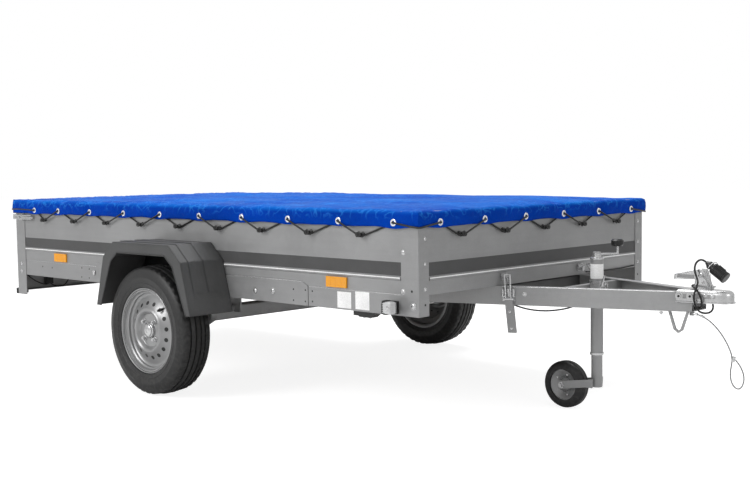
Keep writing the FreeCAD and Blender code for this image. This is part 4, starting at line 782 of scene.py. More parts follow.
def make_cover(name, steps_along, steps_across, steps_down):
    """The tarpaulin's top with skirts hanging from its front and sides."""
    shape = bmesh.new()
    low = spot((TARP_REAR, -TARP_SIDE, TARP_TOP))
    high = spot((TARP_FRONT, TARP_SIDE, TARP_TOP))
    extent = high - low
    placed = Matrix.Translation((low + high) / 2) @ Matrix.Diagonal((extent.x, extent.y, 1.0, 1.0))
    bmesh.ops.create_grid(shape, x_segments=steps_along, y_segments=steps_across, size=0.5, matrix=placed)
    rim = [edge for edge in shape.edges if edge.is_boundary]
    rim = [edge for edge in rim if max(vert.co.x for vert in edge.verts) > low.x + 1e-5]
    drop = (TARP_TOP - TARP_LOW) / steps_down
    for _ in range(steps_down):
        made = bmesh.ops.extrude_edge_only(shape, edges=rim)["geom"]
        verts = [item for item in made if isinstance(item, bmesh.types.BMVert)]
        rim = [item for item in made if isinstance(item, bmesh.types.BMEdge)]
        rim = [edge for edge in rim if abs(edge.verts[0].co.z - edge.verts[1].co.z) < 1e-6]
        bmesh.ops.translate(shape, verts=verts, vec=(0, 0, -drop))
    for vert in shape.verts:
        shape_tarp_point(vert.co)
    edge_verts = [vert for vert in shape.verts if is_near_top_edge(vert.co)]
    axes = {"use_axis_x": True, "use_axis_y": True, "use_axis_z": True}
    bmesh.ops.smooth_vert(shape, verts=edge_verts, factor=0.5, **axes)
    return finish_piece(name, shape, "blue_tarpaulin", "bed", ("tarp",), angle=60)


def is_near_top_edge(place):
    """Whether a point lies near the fold between the tarpaulin's top and its skirts."""
    near_side = abs(abs(place.y) - TARP_SIDE) < 0.012
    near_front = abs(place.x - AXLE_X - TARP_FRONT) < 0.012
    return (near_side or near_front) and place.z > WALL_TOP - 0.014


def thicken(piece, thick):
    """Give a sheet its thickness, inward from its outer face."""
    solid = piece.modifiers.new("thickness", "SOLIDIFY")
    solid.thickness = thick
    solid.offset = -1.0


def make_tail_flap():
    """The flap over the tailgate's top."""
    shape = bmesh.new()
    low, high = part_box("tarp_tail")
    middle = (low + high) / 2
    turn = Matrix.Rotation(math.pi / 2, 4, "Y")
    extent = Matrix.Diagonal((high.z - low.z, high.y - low.y, 1.0, 1.0))
    placed = Matrix.Translation(middle) @ turn @ extent
    bmesh.ops.create_grid(shape, x_segments=6, y_segments=160, size=0.5, matrix=placed)
    for vert in shape.verts:
        down = high.z - vert.co.z
        vert.co.x -= tarp_bulge(vert.co.y, down, CROSS_EYELETS, 12.0, 0.6)
        vert.co.x += 0.004 * max(0.0, 1 - down / 0.01)
        if down < 0.006:
            vert.co.z = TARP_TOP + tarp_height(TARP_REAR, vert.co.y)
    flap = finish_piece("tail_flap", shape, "blue_tarpaulin", "bed", ("tarp_tail",), angle=60)
    thicken(flap, sizes().tarp_thick)
    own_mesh(flap)


class TRAILER_OT_tarpaulin(bpy.types.Operator):
    """Make the tarpaulin with its folds and puckers, and the flap over the tailgate"""

    bl_idname = "trailer.tarpaulin"
    bl_label = "Tarpaulin"

    def execute(self, context):
        steps = ((230, 124, 7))
        cover = make_cover("tarpaulin", *steps)
        thicken(cover, sizes().tarp_thick)
        make_tail_flap()
        return {"FINISHED"}


# Lacing ----------------------------------------------------------------------------------

# The cord's turn round a hook, its gaps to the cloth's edge inside and outside, and how far
# an eyelet sinks into the cloth
LACE_TURN = 0.0085
LACE_INSIDE, LACE_OUTSIDE = 0.004, 0.0016
EYELET_SUNK = 0.0004


def lacing_line(eyelets, hooks, behind, front):
    """Places of the cord as (along, out, up), from the first eyelet to the last."""
    middle = len(hooks) // 2
    line = [(eyelets[0], front, EYELET_UP), (eyelets[0], behind, EYELET_UP)]
    for step, hook in enumerate(hooks):
        coming = front if step > middle else behind
        going = front if step < middle else behind
        turns = round_places((hook, 0, HOOK_UP), LACE_TURN, even(215, 325, 6))
        line += [(along, out, up) for (along, _, up), out in zip(turns, even(coming, going, 6))]
        through = front if going == behind else behind
        line += [(eyelets[step + 1], out, EYELET_UP) for out in (going, through)]
    return line


def add_hook(shape, place, axis, depth):
    """A moulded lacing hook: flange, stem and a dished head."""
    radius = sizes().hook_radius
    profile = [
        (0.0, 0.0), (radius * 0.85, 0.0), (radius * 0.8, 0.002), (0.0045, 0.004), (0.0045, depth),
        (radius * 0.8, depth + 0.0003), (radius, depth + 0.0015), (radius, depth + 0.0032),
        (radius * 0.84, depth + 0.0043), (radius * 0.42, depth + 0.0043),
        (radius * 0.36, depth + 0.0028), (0.0, depth + 0.0028),
    ]
    add_turned(shape, profile, place, axis, 24)


def add_loops(shape, place, axis):
    """Turns of the cord lying each side of a hook's head."""
    along = Vector((0, 0, 1)).cross(Vector(axis))
    turns = even(0.0, math.tau, 9)
    ring = [(0.0072 + 0.0024 * math.cos(turn), 0.0024 * math.sin(turn)) for turn in turns]
    for side in (-1, 1):
        add_turned(shape, ring, Vector(place) + along * side * 0.0125, axis, 18)


def add_eyelet(shape, place, axis):
    """A pressed metal eyelet with a rolled collar, sunk in the cloth."""
    outer, inner = sizes().eyelet_radius, sizes().eyelet_hole
    profile = [
        (inner, -0.0035), (inner - 0.0004, 0.0006), (inner + 0.001, 0.0021),
        ((outer + inner) / 2, 0.0025),
        (outer - 0.0008, 0.0014), (outer, 0.0), (outer - 0.001, -0.0008), (inner + 0.0008, -0.0035),
    ]
    add_turned(shape, profile + profile[:1], place, axis, 28)


class TRAILER_OT_lacing(bpy.types.Operator):
    """Lace the tarpaulin down: eyelets, hooks on the box and the cord between them"""

    bl_idname = "trailer.lacing"
    bl_label = "Lacing"

    def execute(self, context):
        radius = sizes().lace_radius
        side_in, ahead_in = (edge - LACE_INSIDE - radius for edge in (TARP_SIDE, TARP_FRONT))
        side_out, ahead_out = (edge + LACE_OUTSIDE + radius for edge in (TARP_SIDE, TARP_FRONT))
        eyelets, hooks, loops = new_shapes(3)
        left, ahead = (0, 1, 0), (1, 0, 0)
        for place in SIDE_EYELETS:
            mirror(add_eyelet, eyelets, ((place, TARP_SIDE - EYELET_SUNK, EYELET_UP), left))
        for place in SIDE_HOOKS:
            mirror(add_hook, hooks, ((place, SIDE_FACE, HOOK_UP), left), side_out + radius - SIDE_FACE)
            mirror(add_loops, loops, ((place, side_out + 0.002, HOOK_UP - 0.002), left))
        corner = TARP_FRONT + 0.002
        side_line = [
            (TARP_REAR - 0.004, TARP_SIDE - 0.02, EYELET_UP),
            (TARP_REAR - 0.002, side_out, EYELET_UP + 0.002),
            (TARP_REAR + 0.06, side_out + 0.001, EYELET_UP + 0.004),
            *lacing_line(SIDE_EYELETS, SIDE_HOOKS, side_in, side_out),
            (corner - 0.035, side_out, HEM_UP + 0.003), (corner - 0.008, TARP_SIDE + 0.004, HEM_UP),
            (corner + 0.002, TARP_SIDE - 0.008, HEM_UP),
            (ahead_out, TARP_SIDE - 0.03, HEM_UP + 0.003),
            (ahead_out, CROSS_EYELETS[-1], EYELET_UP),
        ]
        for side, hand in SIDES:
            cord_piece(f"lacing_{side}", mirrored(side_line, hand), radius, "lacing", "bed", "POLY")
        for place in CROSS_EYELETS:
            add_eyelet(eyelets, (TARP_FRONT - EYELET_SUNK, place, EYELET_UP), ahead)
        for place in CROSS_HOOKS:
            add_hook(hooks, (FRONT_FACE, place, HOOK_UP), ahead, ahead_out + radius - FRONT_FACE)
            add_loops(loops, (ahead_out + 0.002, place, HOOK_UP - 0.002), ahead)
        line = lacing_line(CROSS_EYELETS, CROSS_HOOKS, ahead_in, ahead_out)
        places = [(out, along, up) for along, out, up in line]
        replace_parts(cord_piece("lacing_front", places, radius, "lacing", "bed", "POLY"), "lacing_cord")
        finish_piece("eyelets", eyelets, "eyelet_metal", "bed")
        finish_piece("lacing_loops", loops, "lacing", "bed")
        finish_piece("lacing_hooks_moulded", hooks, "black_plastic", "bed", ("lacing_hooks",))
        return {"FINISHED"}


# Wheels ----------------------------------------------------------------------------------

# Half of the tyre's section below the tread, and one groove as its share of the tread's
# depth and its offset from the groove's middle
TYRE_WALL = (
    (0.1703, 0.0635), (0.1815, 0.0655), (0.184, 0.0705), (0.1985, 0.0744), (0.2005, 0.0758),
    (0.2025, 0.0749), (0.224, 0.0775), (0.226, 0.0781), (0.229, 0.0775), (0.252, 0.0725),
    (0.2625, 0.066), (TYRE_RADIUS - 0.0055, 0.059),
)
GROOVE = ((0, -0.0045), (1, -0.0032), (1, 0.0032), (0, 0.0045))
TYRE_STEPS = 180


def tyre_outline():
    """Section of the tyre as (radius, out) points, with its grooves."""
    tread = []
    for middle in (-0.036, -0.0125, 0.0125, 0.036):
        crown = TYRE_RADIUS - 3.2 * middle**2
        tread += [(crown - share * sizes().groove_depth, middle + out) for share, out in GROOVE]
    return [(radius, -out) for radius, out in TYRE_WALL] + tread + list(reversed(TYRE_WALL))


def make_tyre(side, hand):
    """A road tyre with grooves, sipes across its ribs and shoulder notches."""
    shape = bmesh.new()
    middle = (0, hand * WHEEL_SIDE, WHEEL_UP)
    add_turned(shape, tyre_outline(), middle, (0, hand, 0), TYRE_STEPS)
    centre = spot(middle)
    for vert in shape.verts:
        arm = Vector((vert.co.x - centre.x, 0, vert.co.z - centre.z))
        step = round(math.atan2(arm.z, arm.x) / math.tau * TYRE_STEPS)
        outer = arm.length > TYRE_RADIUS - 0.0072
        shoulder = 0.04 < abs(vert.co.y - centre.y) < 0.068
        if outer and shoulder and step % 4 == 0:
            vert.co -= arm.normalized() * 0.0045
        elif not shoulder and step % 6 == 0 and arm.length > TYRE_RADIUS - 0.003:
            vert.co -= arm.normalized() * 0.0018
    finish_piece(f"road_tyre_{side}", shape, "tyre_rubber", f"wheel_{side}", (f"tyre_{side}",), angle=30)


# Section of the pressed wheel as (radius, out) points: barrel, disc and back
RIM_BARREL = (
    (0.181, -0.068), (0.181, -0.064), (0.170, -0.064), (0.166, -0.034), (0.140, -0.020),
    (0.140, 0.014), (0.166, 0.024), (0.170, 0.064), (0.181, 0.064), (0.181, 0.0665), (0.179, 0.068),
    (0.1765, 0.0668), (0.1735, 0.0615), (0.168, 0.0592), (0.166, 0.051), (0.1625, 0.0475),
    (0.1585, 0.0455), (0.157, 0.0365), (0.152, 0.0325),
)
RIM_DISC = (
    (0.147, 0.0318), (0.140, 0.0335), (0.130, 0.0385), (0.102, 0.0525), (0.097, 0.0585),
    (0.092, 0.0625), (0.087, 0.0635), (0.082, 0.0615), (0.077, 0.0555), (0.074, 0.0485),
    (0.069, 0.0445), (0.034, 0.0445), (0.032, 0.0425),
)
RIM_BACK = (
    (0.032, 0.0395), (0.067, 0.0395), (0.079, 0.0575), (0.090, 0.0585), (0.130, 0.0345),
    (0.148, 0.0275), (0.136, 0.012), (0.136, -0.021), (0.162, -0.036), (0.166, -0.0615),
    (0.178, -0.068),
)
VENTS = 16
VENT_CIRCLE = 0.1155
VENT_OUT = 0.0458
SEAT_OUT = 0.0445
BOLT_CIRCLE = 0.05
# A wheel bolt's washer, head and tip: height, radius, sides and radius at the top
WHEEL_BOLT = ((0.004, 0.0125, 24, 0.011), (0.015, 0.0095, 6, 0.009), (0.019, 0.006, 14, 0.005))
HUB_CAP = (
    (0.0305, -0.002), (0.0305, 0.004), (0.0285, 0.009), (0.0255, 0.0105), (0.024, 0.0155),
    (0.019, 0.0185), (0.009, 0.0195), (0.008, 0.0175), (0.0, 0.0175),
)


def make_rim(side, hand):
    """The pressed wheel: rolled flange, stepped barrel and dished disc, with dark discs of painted shade
    where its vent openings are.
    """
    centre = Vector((0, hand * WHEEL_SIDE, WHEEL_UP))
    shape, vent_shades = new_shapes(2)
    profile = [*RIM_BARREL, *RIM_DISC, *RIM_BACK]
    add_turned(shape, profile + profile[:1], centre, (0, hand, 0), 80)
    body = f"wheel_{side}"
    finish_piece(f"wheel_disc_{side}", shape, "wheel_steel", body, (f"rim_{side}",), angle=32)
    steep = math.atan2(RIM_DISC[3][1] - RIM_DISC[2][1], RIM_DISC[2][0] - RIM_DISC[3][0])
    # Painted shade: a dark disc at each vent opening, for the shade seen through it
    for turn in range(VENTS):
        angle = math.tau * (turn + 0.3) / VENTS
        arm = Vector((math.cos(angle), 0, math.sin(angle)))
        normal = arm * math.sin(steep) + Vector((0, hand * math.cos(steep), 0))
        place = centre + arm * VENT_CIRCLE + Vector((0, hand * VENT_OUT, 0))
        add_bar(vent_shades, place - normal * 0.002, place + normal * 0.0004, 0.0092, 24)
    finish_piece(f"wheel_vents_{side}", vent_shades, "black_plastic", body)


def make_wheel_trim(side, hand):
    """Wheel bolts, hub cap and valve of one wheel."""
    shape, valve = new_shapes(2)
    centre = (0, hand * (WHEEL_SIDE + SEAT_OUT), WHEEL_UP)
    for place in round_places(centre, BOLT_CIRCLE, even(45, 315, 4)):
        for high, *rest in WHEEL_BOLT:
            add_bar(shape, place, (place[0], place[1] + hand * high, place[2]), *rest)
    add_turned(shape, HUB_CAP, centre, (0, hand, 0), 40)
    finish_piece(f"wheel_fittings_{side}", shape, "zinc_fittings", f"wheel_{side}")
    start = Vector((0.088, hand * (WHEEL_SIDE + 0.035), WHEEL_UP + 0.098))
    tip = start + Vector((-0.008, hand * 0.03, -0.008))
    add_bar(valve, start, start.lerp(tip, 0.6), 0.0052, 14, 0.0042)
    add_bar(valve, start.lerp(tip, 0.6), tip, 0.0046, 12)
    finish_piece(f"valve_{side}", valve, "black_rubber", f"wheel_{side}")


class TRAILER_OT_wheels(bpy.types.Operator):
    """Make the road tyres, pressed wheels, wheel bolts, hub caps and valves"""

    bl_idname = "trailer.wheels"
    bl_label = "Wheels"

    def execute(self, context):
        for side, hand in SIDES:
            make_tyre(side, hand)
            make_rim(side, hand)
            make_wheel_trim(side, hand)
        return {"FINISHED"}


# Mudguards -------------------------------------------------------------------------------

# Front halves of a mudguard's outer line and of its arch, as (ahead, up) points
GUARD_LINE = ((0.335, 0.362), (0.276, 0.576), (0.199, 0.643))
ARCH_LINE = ((0.305, 0.362), (0.222, 0.557), (0.172, 0.598))
RIB_FOOT = 0.42
RIB_HALF = 0.026


def over_wheel(line):
    """A line of (ahead, up) points and its mirror image behind the axle."""
    return [*line, *((-ahead, up) for ahead, up in reversed(line))]


def add_strip(shape, line, middle, half, lift):
    """A raised band with bevelled edges that follows a line of (ahead, up) points."""
    edges = (middle - half, middle + half)
    rows = [[shape.verts.new(spot((ahead, left, up))) for left in edges] for ahead, up in line]
    faces = [shape.faces.new((*before, *reversed(after))) for before, after in pairwise(rows)]
    bmesh.ops.recalc_face_normals(shape, faces=faces)
    centre = spot((0, middle, WHEEL_UP))
    if faces[0].normal.dot(faces[0].calc_center_median() - centre) < 0:
        bmesh.ops.reverse_faces(shape, faces=faces)
    bmesh.ops.inset_region(shape, faces=faces, thickness=2 * lift, depth=lift, use_even_offset=True)


def make_guard_trim(side, hand):
    """Channels pressed in a mudguard, the rolled edge of its arch, and a dark inner lining as painted
    shade inside it.
    """
    near, far = sorted(abs(corner.y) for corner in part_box(f"mudguard_{side}"))
    shape, shade_lining, screws = new_shapes(3)
    foot = [low + (high - low) * RIB_FOOT for low, high in zip(*GUARD_LINE[:2])]
    for share in (0.36, 0.7):
        middle = hand * (near + share * (far - near))
        add_strip(shape, over_wheel([foot, *GUARD_LINE[1:]]), middle, RIB_HALF, sizes().rib_height)
    finish_piece(f"guard_ribs_{side}", shape, "guard_plastic", "bed", angle=30)
    edge = [(ahead, hand * (far - 0.001), up) for ahead, up in over_wheel(ARCH_LINE)]
    cord_piece(f"guard_edge_{side}", edge, 0.003, "guard_plastic", "bed", "POLY")
    # Painted shade: a dark sheet inside the arch, over the wall seen through it
    wall = sizes().liner_in
    outline = [(ahead - wall, up - wall) for ahead, up in GUARD_LINE]
    outline[0] = (outline[0][0], GUARD_LINE[0][1] + wall)
    corners = [(ahead, hand * (near + 0.0004), up) for ahead, up in over_wheel(outline)]
    add_prism(shade_lining, corners, (0, hand * 0.002, 0))
    finish_piece(f"guard_liner_{side}", shade_lining, "black_plastic", "bed")
    for ahead in (-0.12, 0.12):
        add_bolt(screws, (ahead, hand * (near + 0.0024), 0.617), (0, hand, 0), 0.006)
    finish_piece(f"liner_screws_{side}", screws, "zinc_fittings", "bed")


class TRAILER_OT_mudguards(bpy.types.Operator):
    """Add the mudguards' ribs and rolled edges, and dark inner linings as painted shade"""

    bl_idname = "trailer.mudguards"
    bl_label = "Mudguards"

    def execute(self, context):
        for side, hand in SIDES:
            make_guard_trim(side, hand)
        return {"FINISHED"}


# Walls of the box ------------------------------------------------------------------------

# Places on the walls as (ahead, up) points
SIDE_BOLTS = ((0.479, 0.458), (0.586, 0.465), (-0.700, 0.465), (-0.586, 0.465))
POST_BOLTS = ((-1.370, 0.475), (-1.372, 0.436), (1.289, 0.647), (1.287, 0.508))
SIDE_HOLES = (
    (0.708, 0.479), (0.776, 0.480), (0.707, 0.436), (0.775, 0.436), (0.812, 0.478), (0.812, 0.438),
    (-0.809, 0.482), (-0.744, 0.480), (-0.812, 0.438), (-0.746, 0.437), (-1.17, 0.47),
    (-1.08, 0.468),
)
# Thickness of the doubling plate and where it ends, and of a film of paint
PLATE = 0.003
PLATE_REAR, PLATE_FRONT = -0.682, 0.789
FILM = 0.0004
# Painted highlight: a white film on the crest of the pressed bead, where its upper face catches the light
BEAD_HIGHLIGHT = (0.5535, 0.5572)
BEAD_OUT = 0.004
# Where the front panel's screws sit beside its middle
PANEL_SCREWS = 0.705


def add_band(shape, low, high, face, thick, side_in, front_in):
    """A band round the two sides and the front, standing out from a face of the walls."""
    inner, outer = face, face + thick
    rear, front = POST_REAR + side_in, POST_FRONT - side_in
    mirror(add_slab, shape, ((rear, SIDE_FACE + inner, low), (front, SIDE_FACE + outer, high)))
    reach = POST_SIDE - front_in
    add_slab(shape, (FRONT_FACE + inner, -reach, low), (FRONT_FACE + outer, reach, high))


def make_stripes():
    """Dark stripe round the walls, and below it a white line on the bead's crest as a painted highlight,
    both as films on the sheet.
    """
    shape, line = new_shapes(2)
    add_band(shape, sizes().stripe_low, sizes().stripe_high, 0.0, FILM, 0.0835, 0.0555)
    finish_piece("stripes", shape, "stripe", "bed")
    # Painted highlight: white film along the bead's crest, in the labels' white
    add_band(line, *BEAD_HIGHLIGHT, BEAD_OUT - 0.002, 0.002 + FILM, 0.087, 0.0585)
    finish_piece("bead_line", line, "label", "bed")


def make_wall_bolts():
    """Carriage bolts and rivets of the posts, rails and front panel, with dark discs of painted shade at
    each hole.
    """
    radius = sizes().bolt_radius
    shape, hole_shades = new_shapes(2)
    out = (0, 1, 0)
    for ahead, up in SIDE_BOLTS:
        mirror(add_bolt, shape, ((ahead, SIDE_FACE + PLATE, up), out), radius)
    for ahead, up in POST_BOLTS:
        mirror(add_bolt, shape, ((ahead, POST_SIDE, up), out), radius * 0.82)
    mirror(add_bolt, shape, ((1.335, POST_SIDE, 0.459), out), radius * 1.15)
    # Painted shade: dark discs where the sheet has a hole, for the shade seen through it
    for ahead, up in SIDE_HOLES:
        face = SIDE_FACE + (PLATE if PLATE_REAR < ahead < PLATE_FRONT else 0.0)
        mirror(add_bar, hole_shades, ((ahead, face - 0.001, up), (ahead, face + FILM, up)), 0.0035, 14)
    mirror(add_bar, hole_shades, ((1.328, POST_SIDE, 0.511), (1.328, POST_SIDE + FILM, 0.511)), 0.0045, 14)
    for up in (0.696, 0.607, 0.518):
        for ahead, way in ((POST_FRONT, 1), (POST_REAR, -1)):
            mirror(add_bolt, shape, ((ahead, PANEL_SCREWS, up), (way, 0, 0)), radius * 0.62)
    ends = [(ahead, PANEL_SCREWS, 0.462) for ahead in (POST_FRONT, POST_FRONT + FILM)]
    mirror(add_bar, hole_shades, ends, 0.004, 14)
    finish_piece("wall_bolts", shape, "zinc_fittings", "bed")
    finish_piece("drain_holes", hole_shades, "black_plastic", "bed")


def make_labels():
    """Blank white labels on the right rail."""
    shape = bmesh.new()
    for rear, front, low, high in ((0.949, 1.022, 0.426, 0.487), (1.044, 1.116, 0.427, 0.493)):
        add_slab(shape, (rear, -SIDE_FACE - 0.0003, low), (front, -SIDE_FACE, high))
    finish_piece("blank_labels", shape, "label", "bed")


def make_rail_edges():
    """Bright cut edges of the folded sheet above the rails and of the doubling plates."""
    shape = bmesh.new()
    for rear, front, up, out in (
        (POST_REAR + 0.084, -0.683, 0.4952, 0.0008), (-0.681, 0.757, 0.512, 0.0034),
        (0.79, POST_FRONT - 0.084, 0.4952, 0.0008),
    ):
        places = ((rear, SIDE_FACE - 0.001, up - 0.001), (front, SIDE_FACE + out, up + 0.0012))
        mirror(add_slab, shape, places, 0.0004, 1)
    finish_piece("folded_edges", shape, "zinc_fittings", "bed")


def make_reflector_frames():
    """Ribs of the amber reflectors."""
    shape = bmesh.new()
    low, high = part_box("side_reflectors")
    for middle in (-0.993, 0.949):
        for rib in even(middle - 0.03, middle + 0.03, 3):
            start = (rib - 0.0012, high.y - 0.001, low.z + 0.003)
            mirror(add_slab, shape, (start, (rib + 0.0012, high.y + 0.0006, high.z - 0.003)), 0.0004, 1)
    finish_piece("reflector_ribs", shape, "amber_lens", "bed")


CHOCK_FOOT = 0.3995
CHOCK_SIDE = (
    (1.031, 0.4197), (1.031, CHOCK_FOOT + 0.004), (1.056, CHOCK_FOOT + 0.004), (1.062, CHOCK_FOOT),
    (1.120, CHOCK_FOOT), (1.148, 0.4197),
)
CHOCK_OUT, CHOCK_WIDE = 0.735, 0.036


def make_chock_holders():
    """Moulded holders of the wheel chocks below the rails, and their bolts."""
    holders, bolts = new_shapes(2)
    for _, hand in SIDES:
        corners = [(ahead, hand * CHOCK_OUT, up) for ahead, up in CHOCK_SIDE]
        add_prism(holders, corners, (0, -hand * CHOCK_WIDE, 0))
    for ahead in (1.078, 1.108):
        places = ((ahead, CHOCK_OUT - 0.01, CHOCK_FOOT), (0, 0, -1))
        mirror(add_bolt, bolts, places, 0.005, hexagon=True)
    finish_piece("chock_shells", holders, "black_plastic", "bed", ("chock_holders",))
    finish_piece("chock_bolts", bolts, "zinc_fittings", "bed")


# Corners of the left position lamp's glass
MARKER_LOW = (1.245, 0.7765, 0.4315)
MARKER_HIGH = (1.286, 0.806, 0.4765)
MARKER_SCREW = ((0.0, 0.0), (0.008, 0.0), (0.008, 0.0016), (0.005, 0.0024), (0.0, 0.0024))


def make_marker_trim():
    """Lenses, rubber surrounds, bright bands, screws and ribs of the position lamps."""
    lenses, surrounds, bands, ribs = new_shapes(4)
    rear, near, foot = MARKER_LOW
    front, far, top = MARKER_HIGH
    middle, up = (rear + front) / 2, (foot + top) / 2
    mirror(add_slab, lenses, (MARKER_LOW, MARKER_HIGH), 0.006)
    low = (rear - 0.007, near - 0.005, foot - 0.0035)
    mirror(add_slab, surrounds, (low, (front - 0.022, far - 0.001, top + 0.0035)), 0.007)
    finish_piece("marker_glasses", lenses, "clear_lens", "bed", ("marker_lenses",))
    finish_piece("marker_surrounds", surrounds, "black_rubber", "bed")
    for _, hand in SIDES:
        add_turned(bands, MARKER_SCREW, (middle + 0.006, hand * far, up), (0, hand, 0), 20)
    band = ((rear, far - 0.03, up - 0.019), (front + 0.001, far - 0.022, up + 0.019))
    mirror(add_slab, bands, band, 0.001, 1)
    finish_piece("marker_bands", bands, "zinc_fittings", "bed")
    for rib in even(foot + 0.007, top - 0.007, 6):
        low = (rear - 0.0006, far - 0.02, rib - 0.0012)
        mirror(add_slab, ribs, (low, (front + 0.0006, far + 0.0006, rib + 0.0012)), 0.0004, 1)
    finish_piece("marker_ribs", ribs, "clear_lens", "bed")


class TRAILER_OT_walls(bpy.types.Operator):
    """Add the stripes with the bead's painted highlight, bolts, dark discs of painted shade at each hole,
    labels, bright edges, chock holders and lamps of the box
    """

    bl_idname = "trailer.walls"
    bl_label = "Walls"

    def execute(self, context):
        make_stripes()
        make_wall_bolts()
        make_labels()
        make_rail_edges()
        make_reflector_frames()
        make_chock_holders()
        make_marker_trim()
        return {"FINISHED"}


# Rear end --------------------------------------------------------------------------------


def make_lamp_lenses():
    """Amber and white fields of the tail lamps, and their frames."""
    low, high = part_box("tail_lamps")
    rear, front = low.x - AXLE_X, high.x - AXLE_X
    amber, clear, frames = new_shapes(3)
    outer, inner = high.y, high.y - 0.215
    for shape, far, near in ((amber, outer - 0.01, outer - 0.07), (clear, inner + 0.01, inner + 0.05)):
        field = ((rear - 0.0025, far, low.z + 0.008), (rear + 0.004, near, high.z - 0.008))
        mirror(add_slab, shape, field, 0.001, 1)
    for up in (low.z - 0.002, high.z - 0.002):
        mirror(add_slab, frames, ((rear + 0.01, outer, up), (front, inner, up + 0.004)), 0.001, 1)
    finish_piece("indicator_lenses", amber, "amber_lens", "bed")
    finish_piece("reversing_lenses", clear, "clear_lens", "bed")
    finish_piece("lamp_frames", frames, "black_plastic", "bed")


def make_tail_lacing():
    """Eyelets, hooks and cord at the rear, where the flap is tied to the tailgate."""
    eyelets, hooks = new_shapes(2)
    radius = sizes().lace_radius
    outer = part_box("tarp_tail")[0].x - AXLE_X
    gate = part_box("tailgate")[0].x - AXLE_X + 0.004
    back = (-1, 0, 0)
    for left in CROSS_EYELETS:
        add_eyelet(eyelets, (outer + EYELET_SUNK, left, EYELET_UP), back)
    for left in CROSS_HOOKS:
        add_hook(hooks, (gate, left, HOOK_UP), back, gate - outer + LACE_OUTSIDE + 2 * radius)
    gaps = (-outer - LACE_INSIDE - radius, -outer + LACE_OUTSIDE + radius)
    places = [(-out, left, up) for left, out, up in lacing_line(CROSS_EYELETS, CROSS_HOOKS, *gaps)]
    cord = cord_piece("lacing_tail", places, radius, "lacing", "bed", "POLY")
    rings = finish_piece("tail_eyelets", eyelets, "eyelet_metal", "bed")
    for piece in (rings, curve_to_mesh(cord)):
        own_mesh(piece)
    finish_piece("tail_hooks", hooks, "black_plastic", "tailgate")


def curve_to_mesh(cord):
    """Turn a cord's curve into a mesh in place."""
    name = cord.name
    graph = bpy.context.evaluated_depsgraph_get()
    mesh = bpy.data.meshes.new_from_object(cord.evaluated_get(graph))
    bpy.data.objects.remove(cord)
    piece = place_object(name, mesh)
    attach(piece, "bed")
    return piece


def make_rear_bolts():
    """Pins and rivets of the tailgate's hinges, and bolts of its latches."""
    shape = bmesh.new()
    low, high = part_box("hinge_ears")
    for middle in (-0.45, 0.0, 0.45):
        for hand in (-1, 1):
            place = (low.x - AXLE_X + 0.005, middle + hand * 0.0315, high.z - 0.005)
            add_bolt(shape, place, (0, hand, 0), 0.0042)
        for up in (0.478, 0.487):
            add_bolt(shape, (POST_REAR + 0.0025, middle - 0.024, up), (-1, 0, 0), 0.0035)
    low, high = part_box("tail_latches")
    for ahead in (low.x + 0.015, low.x + 0.05):
        place = (ahead - AXLE_X, high.y, (low.z + high.z) / 2)
        mirror(add_bolt, shape, (place, (0, 1, 0)), 0.0055, hexagon=True)
    finish_piece("rear_fixings", shape, "zinc_fittings", "bed")


def make_latch_wraps():
    """Bright clips of the tailgate levers that reach round the rear posts."""
    shape = bmesh.new()
    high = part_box("tail_latches")[1]
    far = high.y + 0.0015
    clip = ((POST_REAR - 0.008, POST_SIDE + 0.001, 0.702), (POST_REAR + 0.03, far, 0.729))
    mirror(add_slab, shape, clip, 0.0015, 2)
    for up in (0.7065, 0.7245):
        ends = ((POST_REAR + 0.02, far, up), (high.x - AXLE_X - 0.01, far, up))
        mirror(add_bar, shape, ends, 0.0028, 10)
    finish_piece("latch_wraps", shape, "zinc_fittings", "bed")


# Leads at the light board, as (left, up) points
BOARD_AHEAD = -1.38
NEAR_LEAD = ((-0.706, 0.414), (-0.674, 0.386), (-0.636, 0.366), (-0.600, 0.352), (-0.578, 0.362))
FAR_LEAD = (
    (-0.578, 0.362), (-0.550, 0.341), (-0.501, 0.338), (-0.475, 0.357), (-0.460, 0.392),
    (-0.455, 0.42),
)


def make_rear_wiring():
    """Leads from the lamps to the joint box under the floor, clipped to the light board."""
    for name, line, length in (("rear_lead_near", NEAR_LEAD, 0.146), ("rear_lead_far", FAR_LEAD, 0.179)):
        add_lead(name, [(BOARD_AHEAD, left, up) for left, up in line], "bed")
    shape = bmesh.new()
    add_slab(shape, (BOARD_AHEAD - 0.022, -0.6, 0.358), (BOARD_AHEAD + 0.012, -0.562, 0.398), 0.004, 2)
    add_bar(shape, (BOARD_AHEAD - 0.005, -0.58, 0.39), (BOARD_AHEAD - 0.005, -0.58, 0.43), 0.006, 14)
    finish_piece("joint_box", shape, "black_plastic", "bed")


class TRAILER_OT_rear(bpy.types.Operator):
    """Add the rear lamps' fields, tail lacing, latch clips, hinge pins and leads"""

    bl_idname = "trailer.rear"
    bl_label = "Rear"

    def execute(self, context):
        make_lamp_lenses()
        make_tail_lacing()
        make_rear_bolts()
        make_latch_wraps()
        make_rear_wiring()
        return {"FINISHED"}


# Drawbar, coupling and jockey wheel ------------------------------------------------------

# How far each beam turns in toward the nose
BEAM_SLOPE = math.radians(20)
# A tilt latch's lever: where it hangs, its heights, its lean, and its web and two flanges
# as (from, to) along the beam and (from, to) out from it
LEVER_AHEAD, LEVER_OUT = 1.393, 0.286
LEVER_HEAD, LEVER_FOOT = 0.447, 0.322
LEVER_LEAN = 0.013
LEVER_PARTS = (
    (0.0, 0.031, 0.0125, 0.015), (0.0, 0.0028, 0.001, 0.013), (0.0282, 0.031, 0.001, 0.013),
)
